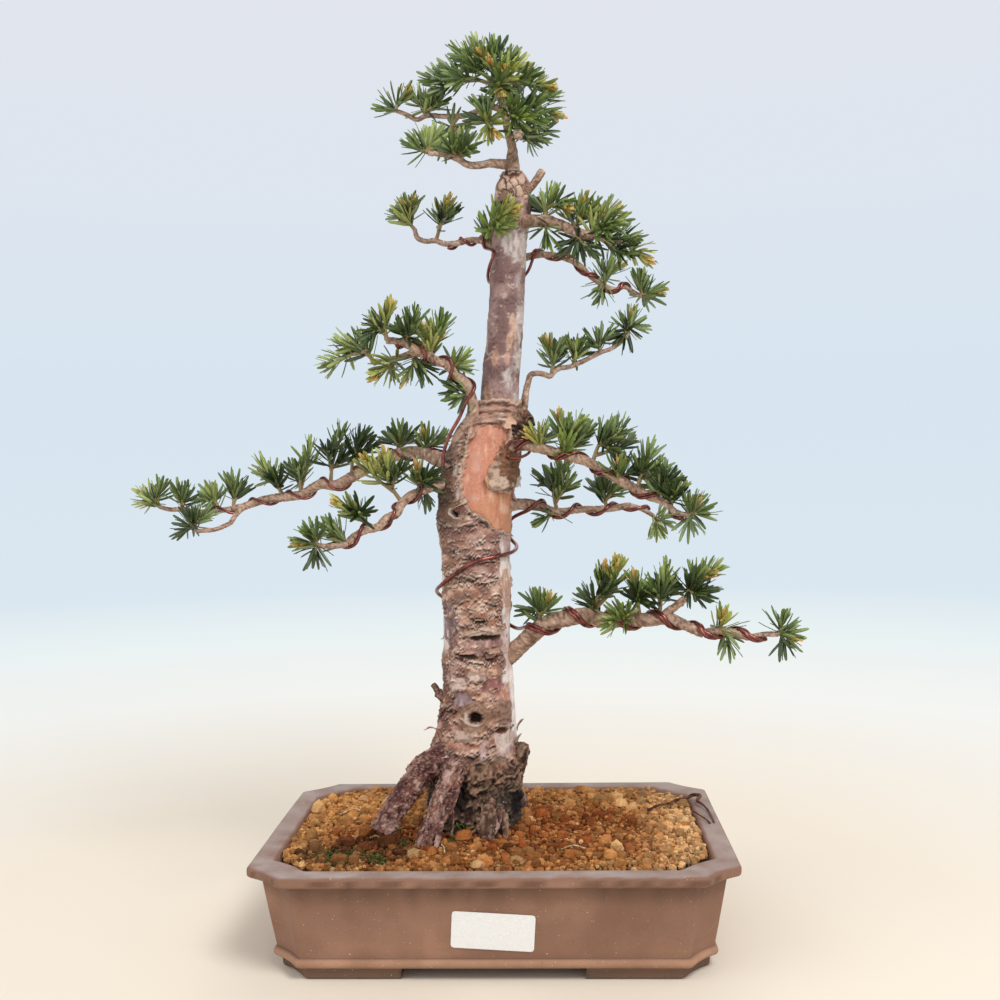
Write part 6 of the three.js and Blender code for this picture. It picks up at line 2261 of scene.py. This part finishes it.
@dataclass
class Soil:
    """Fired clay granules heaped a little towards the trunk, over a dark slab that is painted shade between
    them.
    """

    edge: float = 64.6
    bottom: float = 54
    mound: float = 6.5
    spread: float = 46
    foot: tuple[float, float] = (-16, -4)
    spacing: float = 3.85
    half: tuple[float, float] = (133.5, 91.5)
    corner: float = 26
    crumbs: int = 2600
    big: int = 520
    cuts: int = 6
    cut_depths: tuple[float, float] = (0.62, 0.95)
    roughness: tuple[float, float] = (0.86, 1.12)
    stretches: tuple[float, float] = (0.78, 1.2)
    close_sizes: tuple[float, float] = (3.4, 5.6)
    crumb_sizes: tuple[float, float] = (1.2, 3.2)

    def height(self, x: Array, y: Array) -> Array:
        """The soil's height: an edge level and a bell-shaped heap round the trunk's foot."""
        away = np.hypot(x - self.foot[0], (y - self.foot[1]) * 1.25)
        return self.edge + self.mound * np.exp(-((away / self.spread) ** 2))

    def within(self, x: Array, y: Array, margin: float = 0) -> Array:
        """Whether places lie inside the pot's lip, with its corners cut off.

        Args:
            x: places across.
            y: places away from the viewer.
            margin: how far inside the edge they have to lie.

        Returns:
            Yes or no for each place.
        """
        wide, deep = self.half[0] - margin, self.half[1] - margin
        cut = (np.abs(x) + np.abs(y)) < wide + deep - self.corner
        return (np.abs(x) < wide) & (np.abs(y) < deep) & cut

    def shades(self, x: Array, y: Array, rng: Draws) -> Array:
        """Grain colours by place: ochre outside, red-brown inside, wet and dark at the left front.

        Args:
            x: places across.
            y: places away from the viewer.
            rng: the source of draws.

        Returns:
            A colour for each grain.
        """
        count = len(x)
        where = xyz(x, y, 0)
        shade = between("d09a5e", "b87a42", rng.uniform(0, 1, count))
        away = np.minimum(np.hypot((x - 28) / 98, (y + 26) / 82), np.hypot((x + 58) / 66, (y + 42) / 54))
        red_share = ease(1.25, 0.4, away + 0.25 * noise(where, 22, 7))
        red = between("9a5226", "79401e", rng.uniform(0, 1, count))
        wet = ease(1.15, 0.4, np.hypot((x + 88) / 50, (y + 60) / 36) + 0.25 * noise(where, 12, 9))
        shade = painted(
            shade,
            (red, np.clip(red_share * rng.uniform(0.3, 1.3, count), 0, 1)),
            ("422617", np.clip(wet * rng.uniform(0.3, 1.1, count), 0, 1)),
            ("dcae76", (rng.uniform(0, 1, count) < 0.09 * (1 - 0.7 * red_share)) * 0.8),
            ("e6bb86", ease(85, 125, x) * rng.uniform(0, 0.9, count)),
        )
        return shade * rng.uniform(0.45, 1.28, (count, 1))

    def ball(self, fine: bool) -> Pair:
        """A ball's directions and triangles: a cube cut in four on each side, or twenty faces.

        Args:
            fine: whether it is the cube.

        Returns:
            The unit directions, and triangles of their numbers.
        """
        template = bmesh.new()
        if fine:
            bmesh.ops.create_cube(template, size=2)
            bmesh.ops.subdivide_edges(template, edges=template.edges[:], cuts=1, use_grid_fill=True)
            bmesh.ops.triangulate(template, faces=template.faces[:])
        else:
            bmesh.ops.create_icosphere(template, subdivisions=1, radius=1)
        template.verts.index_update()
        directions = unit(np.array([vertex.co[:] for vertex in template.verts]))
        faces = np.array([[vertex.index for vertex in face.verts] for face in template.faces])
        template.free()
        return directions, faces

    def grains(self, x: Array, y: Array, size: Array, lift: float, fine: bool,
               rng: Draws) -> Shape:
        """Angular grains: balls cut flat by random planes, stretched and roughened.

        A plane with unit normal n at distance h cuts the ball's direction d at h / (n.d).

        Args:
            x: places across.
            y: places away from the viewer.
            size: mean diameters.
            lift: share of its size by which a grain's middle lies above the soil.
            fine: whether each grain has 48 faces instead of 20.
            rng: the source of draws.

        Returns:
            All the grains as one shape.
        """
        directions, faces = self.ball(fine)
        count = len(x)
        normals = unit(rng.normal(size=(count, self.cuts, 3)))
        depth = rng.uniform(*self.cut_depths, (count, self.cuts))[:, :, None]
        facing = np.maximum(normals @ directions.T, 1e-3)
        reach = np.minimum(1, (depth / facing).min(axis=1))
        reach = reach * rng.uniform(*self.roughness, (count, len(directions)))
        body = directions[None] * reach[..., None] * rng.uniform(*self.stretches, (count, 1, 3)) * 0.58
        middle = xyz(x, y, self.height(x, y) + lift * size)
        points = middle[:, None] + body * size[:, None, None]
        tint = self.shades(x, y, rng)[:, None] * rng.uniform(0.86, 1.12, (count, len(directions), 1))
        starts = (len(directions) * np.arange(count))[:, None, None]
        return Shape(points, tint, triangles=faces + starts)

    def shade_slab(self) -> Shape:
        """The slab under the grains: closed, with a bumpy top, and dark as painted shade in the gaps between
        them.

        Returns:
            The slab.
        """
        x, y = np.meshgrid(np.linspace(-1, 1, 90), np.linspace(-1, 1, 64))
        wide, deep = self.half
        x, y = x * (wide + 1), y * (deep + 1)
        cut = np.abs(x) / wide + np.abs(y) / deep
        pull = np.minimum(1, 1.8 / np.maximum(cut, 1e-6))
        x, y = x * pull, y * pull
        top = xyz(x, y, self.height(x, y) - 2.6 + 0.8 * noise(xyz(x, y, 0), 5, 3))
        points = np.stack([top, xyz(x, y, self.bottom)])
        # Its dark colour is painted shade, seen through the gaps between the grains.
        return Shape(points, np.broadcast_to(colour("3a2315"), points.shape), slab_quads(*x.shape))

    def shapes(self) -> tuple[Shape, Shape, Shape]:
        """The dark slab of painted shade, the close layer of grains, and the loose grains and crumbs on it.

        Returns:
            The three shapes.
        """
        rng = np.random.default_rng(SEED + 5)
        columns = np.arange(-self.half[0], self.half[0], self.spacing)
        rows = np.arange(-self.half[1], self.half[1], self.spacing * 0.87)
        x, y = np.meshgrid(columns, rows)
        x = x + (np.arange(len(rows)) % 2 * self.spacing / 2)[:, None]
        x, y = (values.ravel() + rng.uniform(-1.2, 1.2, values.size) for values in (x, y))
        kept = self.within(x, y, 1)
        x, y = x[kept], y[kept]
        close = self.grains(x, y, rng.uniform(*self.close_sizes, len(x)), -0.1, True, rng)
        x, y = (rng.uniform(-half + 4, half - 4, self.big) for half in self.half)
        kept = self.within(x, y, 5)
        big = self.grains(x[kept], y[kept], rng.gamma(6, 0.75, kept.sum()) + 1.6, 0.24, True, rng)
        x, y = (rng.uniform(-half + 2, half - 2, self.crumbs) for half in self.half)
        kept = self.within(x, y, 2)
        size = rng.uniform(*self.crumb_sizes, kept.sum())
        crumbs = self.grains(x[kept], y[kept], size, 0.8, False, rng)
        return self.shade_slab(), close, joined([big, crumbs])


# Small growth and litter on the soil


@dataclass
class Undergrowth:
    """Moss, sprouts, straws and a dead root that lie on the soil."""

    soil: Soil
    moss_lengths: tuple[float, float] = (1.6, 3.2)
    sprout_lengths: tuple[float, float] = (5, 9)
    leaves: int = 6
    moss_spots: tuple = ((-103, -66, 9), (-92, -74, 11), (-79, -70, 9), (-70, -77, 7), (-88, -58, 6),
                         (-25, -42, 5), (-60, -46, 5))
    sprout_spots: tuple = ((-30, -26), (-22, -31), (-20, -32), (-23, -29))
    root_path: tuple = ((103, 24, 68.5), (110, 30, 70), (118, 37, 69.5), (125, 43, 70.5), (132, 50, 69.5),
                        (138, 54, 71), (142, 49, 71.5), (139, 43, 70), (142, 36, 69), (144, 27, 68.2),
                        (145, 12, 67.6), (145, -1, 67.3))
    grass_path: tuple = ((-70, -48, 68.5), (-68, -41, 71), (-65, -33, 72.5), (-61, -20, 70.5))
    root_fork: tuple = ((133, 24, 68.5), (136, 14, 68.6), (140, 4, 68), (142, -3, 67.3))
    straws: tuple = (
        ((-33, -56, 70), (-31, -63, 70.5), (-30, -70, 69)),
        ((-81, -38, 69), (-77, -37, 70), (-73, -39, 69)),
        ((42, -60, 68), (50, -57, 69.5), (57, -58, 68)),
        ((-110, 20, 68), (-101, 26, 70), (-94, 24, 68)),
    )

    def moss(self) -> Shape:
        """Cushions of short green blades.

        Returns:
            All the cushions as one shape.
        """
        rng = np.random.default_rng(SEED + 9)
        parts = []
        for x, y, radius in self.moss_spots:
            count = int(9 * radius)
            angle, reach = rng.uniform(0, TAU, count), radius * np.sqrt(rng.uniform(0, 1, count))
            px, py = x + reach * np.cos(angle), y + reach * np.sin(angle)
            roots = xyz(px, py, self.soil.height(px, py) + rng.uniform(0.2, 2.4, count))
            parts.append(self.blades(roots, rng.uniform(*self.moss_lengths, count), 0.8, "4a5829", rng))
        return joined(parts)

    def sprouts(self) -> Shape:
        """A few bright seedlings at the foot of the roots, and one blade of grass.

        Returns:
            The seedlings and the grass as one shape.
        """
        rng = np.random.default_rng(SEED + 11)
        spots = np.array(self.sprout_spots, float)
        base = np.repeat(np.column_stack([spots, self.soil.height(*spots.T) + 2.5]), self.leaves, axis=0)
        base = base + rng.normal(0, 0.8, base.shape)
        leaves = self.blades(base, rng.uniform(*self.sprout_lengths, len(base)), 2.0, "587431", rng)
        green = ("7f9a45", "66802f", "a3b268")
        grass = Limb(self.grass_path, (0.5, 0.8, 0.7, 0.3), green, 0.05, 8, 1.5).shape()
        return joined([leaves, grass])

    def blades(self, roots: Array, length: Array, width: float, code: str,
               rng: Draws) -> Shape:
        """Upright leaning blades in one colour.

        Args:
            roots: where the blades stand.
            length: how long they are.
            width: how wide they are.
            code: their colour as hex digits.
            rng: the source of draws.

        Returns:
            The blades as one shape.
        """
        count = len(roots)
        out = unit(rng.normal(size=(count, 3)) * (1, 1, 0.3) + (0, 0, 1.1))
        shade = np.broadcast_to(colour(code), (count, 3)) * rng.uniform(0.6, 1.35, (count, 1))
        return Needles(roots, out, unit(rng.normal(size=(count, 3))), length, np.full(count, width),
                       rng.uniform(-0.1, 0.3, count), np.zeros(count), shade, shade).shape()

    def litter(self) -> Shape:
        """Straws on the soil, and the dead root that arches over the far right of the lip.

        Returns:
            The straws and the root as one shape.
        """
        dry = ("cbb184", "a98f62", "e6d8b0")
        parts = [Limb(path, (0.5, 0.4), dry, 0.1, 6, 1.5).shape() for path in self.straws]
        dead = ("6a4234", "452a22", "8d6656")
        parts.append(Limb(self.root_path, (0.9, 0.8, 1.3, 0.7, 0.5), dead, 0.2, 8, 1.2).shape())
        parts.append(Limb(self.root_fork, (0.4, 0.5, 0.5), dead, 0.2, 8, 1.2).shape())
        return joined(parts)


# Small things on the tree


@dataclass(frozen=True)
class Cones:
    """Small round cones, each by its middle and radius: balls of overlapping scales."""

    places: tuple = ((21.5, -24, 521, 3.5), (-22.3, 14, 535.5, 2.3), (84.5, -30, 324, 3.0),
                     (23.5, -18, 437, 1.2))
    scale: float = 0.62

    def shape(self) -> Shape:
        """All the cones, as rings from below to above whose radius swells on each scale.

        Returns:
            All the cones as one shape.
        """
        rise, angle = np.meshgrid(np.linspace(-1.45, 1.45, 16),
                                  np.linspace(0, TAU, 22, endpoint=False), indexing="ij")
        bare = xyz(np.cos(rise) * np.cos(angle), np.cos(rise) * np.sin(angle), np.sin(rise))
        inside = cell_noise(bare, (self.scale,) * 3, 4).inside
        swell = (0.93 + 0.14 * ease(0.02, 0.3, inside))[..., None]
        tint = between("7a6352", "bda48c", ease(0.02, 0.25, inside))
        return joined([closed_rings((x, y, z) + bare * (radius * swell), tint)
                       for x, y, z, radius in self.places])


# The stage


@dataclass(frozen=True)
class Camera:
    """The camera, by its place in the pot's frame and the photograph's angles in radians."""

    place: tuple[float, float, float] = (37.1, -822.4, 308.5)
    yaw: float = -0.0389
    pitch: float = 0.0285
    roll: float = 0.0161
    lens: float = 44.285
    sensor: float = 36
    sight: float = 20

    def build(self) -> None:
        """Sets the camera: turned by yaw about Z, tipped down by pitch, then rolled."""
        data = bpy.data.cameras.new("camera")
        data.lens = self.lens
        data.sensor_width = self.sensor
        data.clip_end = self.sight
        camera = added("camera", data)
        right = Vector((math.cos(self.yaw), -math.sin(self.yaw), 0))
        ahead = Vector((math.sin(self.yaw), math.cos(self.yaw), 0))
        up = math.cos(self.pitch) * Vector((0, 0, 1)) + math.sin(self.pitch) * ahead
        forward = math.cos(self.pitch) * ahead - math.sin(self.pitch) * Vector((0, 0, 1))
        across = math.cos(self.roll) * right - math.sin(self.roll) * up
        above = math.sin(self.roll) * right + math.cos(self.roll) * up
        turned = Matrix((across, above, -forward)).transposed().to_4x4()
        turned.translation = Vector((ORIGIN + np.array(self.place)) * MM)
        camera.matrix_world = turned
        bpy.context.scene.camera = camera


@dataclass(frozen=True)
class Studio:
    """A round bowl for a floor and backdrop, a pale world and soft lights.

    The floor takes light near the object. Further out and up the wall it glows by itself,
    through the colours of the stops, which go by the way from the middle in metres.
    """

    world: str = "f4f2f2"
    strength: float = 0.45
    flat: float = 2.2
    bend: float = 0.8
    wall: float = 1.5
    target: tuple[float, float, float] = (0, 0, 0.25)
    stops: tuple = (
        (0.0, "eee2d0"), (0.35, "f0e4d2"), (0.9, "f6f6f1"), (1.5, "e9f2f3"), (2.3, "dbe7f0"),
        (3.2, "d8e5f0"), (4.1, "e0e5ee"), (4.9, "e5e5ed"), (6.0, "e5e5ed"),
    )
    lamps: tuple = (
        ((0.75, -1.15, 1.75), 0.75, 25),
        ((-1.3, -0.9, 1.3), 1.5, 8),
        ((0.2, 1.2, 1.5), 1.2, 6),
    )

    def bowl(self) -> Shape:
        """The bowl: rings out over the floor, round a quarter circle and up the wall.

        Returns:
            The bowl in the pot's frame.
        """
        arc = self.bend * math.pi / 2
        way = np.concatenate([np.linspace(0.02, self.flat, 40), self.flat + np.linspace(0, arc, 15)[1:],
                              self.flat + arc + np.linspace(0, self.wall, 30)[1:]])
        turn = np.clip((way - self.flat) / self.bend, 0, math.pi / 2)
        radius = np.minimum(way, self.flat) + self.bend * np.sin(turn)
        height = self.bend * (1 - np.cos(turn)) + np.maximum(way - self.flat - arc, 0)
        angle = np.linspace(0, TAU, 96, endpoint=False)[None, :]
        grid = xyz(radius[:, None] * np.cos(angle), radius[:, None] * np.sin(angle), height[:, None])
        grid = grid / MM - ORIGIN
        places = [place for place, _ in self.stops]
        shades = np.stack([colour(code) for _, code in self.stops])
        shade = sampled(way, places, shades)
        middle = np.array([[0, 0, 0]]) - ORIGIN
        count = grid.shape[1]
        column = np.arange(count)
        fan = np.stack([np.full(count, grid.shape[0] * count), column, (column + 1) % count], axis=1)
        return Shape(np.concatenate([grid.reshape(-1, 3), middle]),
                     np.concatenate([np.repeat(shade, count, axis=0), shade[:1]]),
                     grid_quads(*grid.shape[:2])[:, ::-1], fan)

    def glow(self) -> Material:
        """The bowl's material: a matt floor that glows in its own colour further out.

        Returns:
            The material.
        """
        nodes = Nodes("pale_backdrop")
        middle = nodes.tree.nodes.new("ShaderNodeVectorMath")
        middle.operation = "LENGTH"
        nodes.link(nodes.place, middle.inputs[0])
        share = nodes.window(middle.outputs["Value"], 0.3, 1.5)
        share.node.interpolation_type = "SMOOTHSTEP"
        floor = nodes.mix(share, nodes.tint(), np.zeros(3))
        sockets = {"Base Color": floor, "Emission Color": nodes.tint(), "Emission Strength": share}
        return nodes.finished(sockets, {"Roughness": 1.0, "Specular IOR Level": 0.0})

    def build(self) -> None:
        """Lays the bowl and hangs the lights, each turned to the middle of the tree."""
        bowl = added("backdrop", mesh_of("backdrop", self.bowl(), self.glow(), True))
        for index, (place, size, power) in enumerate(self.lamps):
            data = bpy.data.lights.new(f"lamp_{index}", "AREA")
            data.size = size
            data.energy = power
            lamp = added(f"lamp_{index}", data)
            lamp.location = place
            towards = Vector(self.target) - Vector(place)
            lamp.rotation_euler = towards.to_track_quat("-Z", "Y").to_euler()
        world = bpy.data.worlds.new("studio")
        world.use_nodes = True
        background = world.node_tree.nodes["Background"]
        background.inputs["Color"].default_value = (*colour(self.world), 1)
        background.inputs["Strength"].default_value = self.strength
        bpy.context.scene.world = world
        bpy.context.scene.view_settings.view_transform = "Standard"


def wood_pieces() -> list[Piece]:
    """The trunk's two kinds of bark, its flakes, the roots and the branches.

    Returns:
        The pieces.
    """
    trunk = Trunk()
    bark, smooth, limb = BARK.material(), SMOOTH_BARK.material(), LIMB_BARK.material()
    return [
        Piece("old_bark", trunk.old_bark(), bark, "bark", ("wood",)),
        Piece("young_bark", trunk.young_bark(), smooth, "bark"),
        Piece("loose_bark", trunk.loose_sheets(), bark, "bark"),
        Piece("roots_and_stubs", joined([one.shape() for one in ROOTS_AND_STUBS]), bark, "bark"),
        Piece("branches", joined([one.shape() for one in BRANCHES.values()]), limb, "bark"),
        Piece("cones", Cones().shape(), limb, "bark"),
    ]


def ground_pieces() -> list[Piece]:
    """The pot, its soil and what grows and lies on it.

    Returns:
        The pieces.
    """
    soil = Soil()
    shade_slab, close, loose = soil.shapes()
    growth = Undergrowth(soil)
    grain, moss = GRAIN_CLAY.material(), MOSS.material()
    return [
        Piece("clay_pot", Pot().shape(), ClayFinish().material(), "clay", ("pot",)),
        Piece("soil_shade_slab", shade_slab, grain, "soil", ("soil",)),
        Piece("granules", close, grain, "soil", smooth=False),
        Piece("loose_granules", loose, grain, "soil", smooth=False),
        Piece("moss", growth.moss(), moss, "soil"),
        Piece("sprouts", growth.sprouts(), moss, "soil"),
        Piece("litter", growth.litter(), grain, "soil"),
    ]


def main() -> None:
    """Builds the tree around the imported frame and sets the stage."""
    logging.basicConfig(level=logging.INFO, format="%(name)s %(message)s")
    wire = WireFinish().material()
    pieces = wood_pieces() + ground_pieces()
    pieces += [Piece(f"wound_{one.name}", one.shape(), wire, "wire", (one.name,)) for one in WIRES]
    pieces += Foliage().pieces(NeedleFinish().material())
    for piece in pieces:
        piece.place()
    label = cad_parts["blank_label"]
    label.data.materials.clear()
    label.data.materials.append(PaperFinish().material())
    Camera().build()
    Studio().build()
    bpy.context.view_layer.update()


if __name__ == "__main__":
    main()
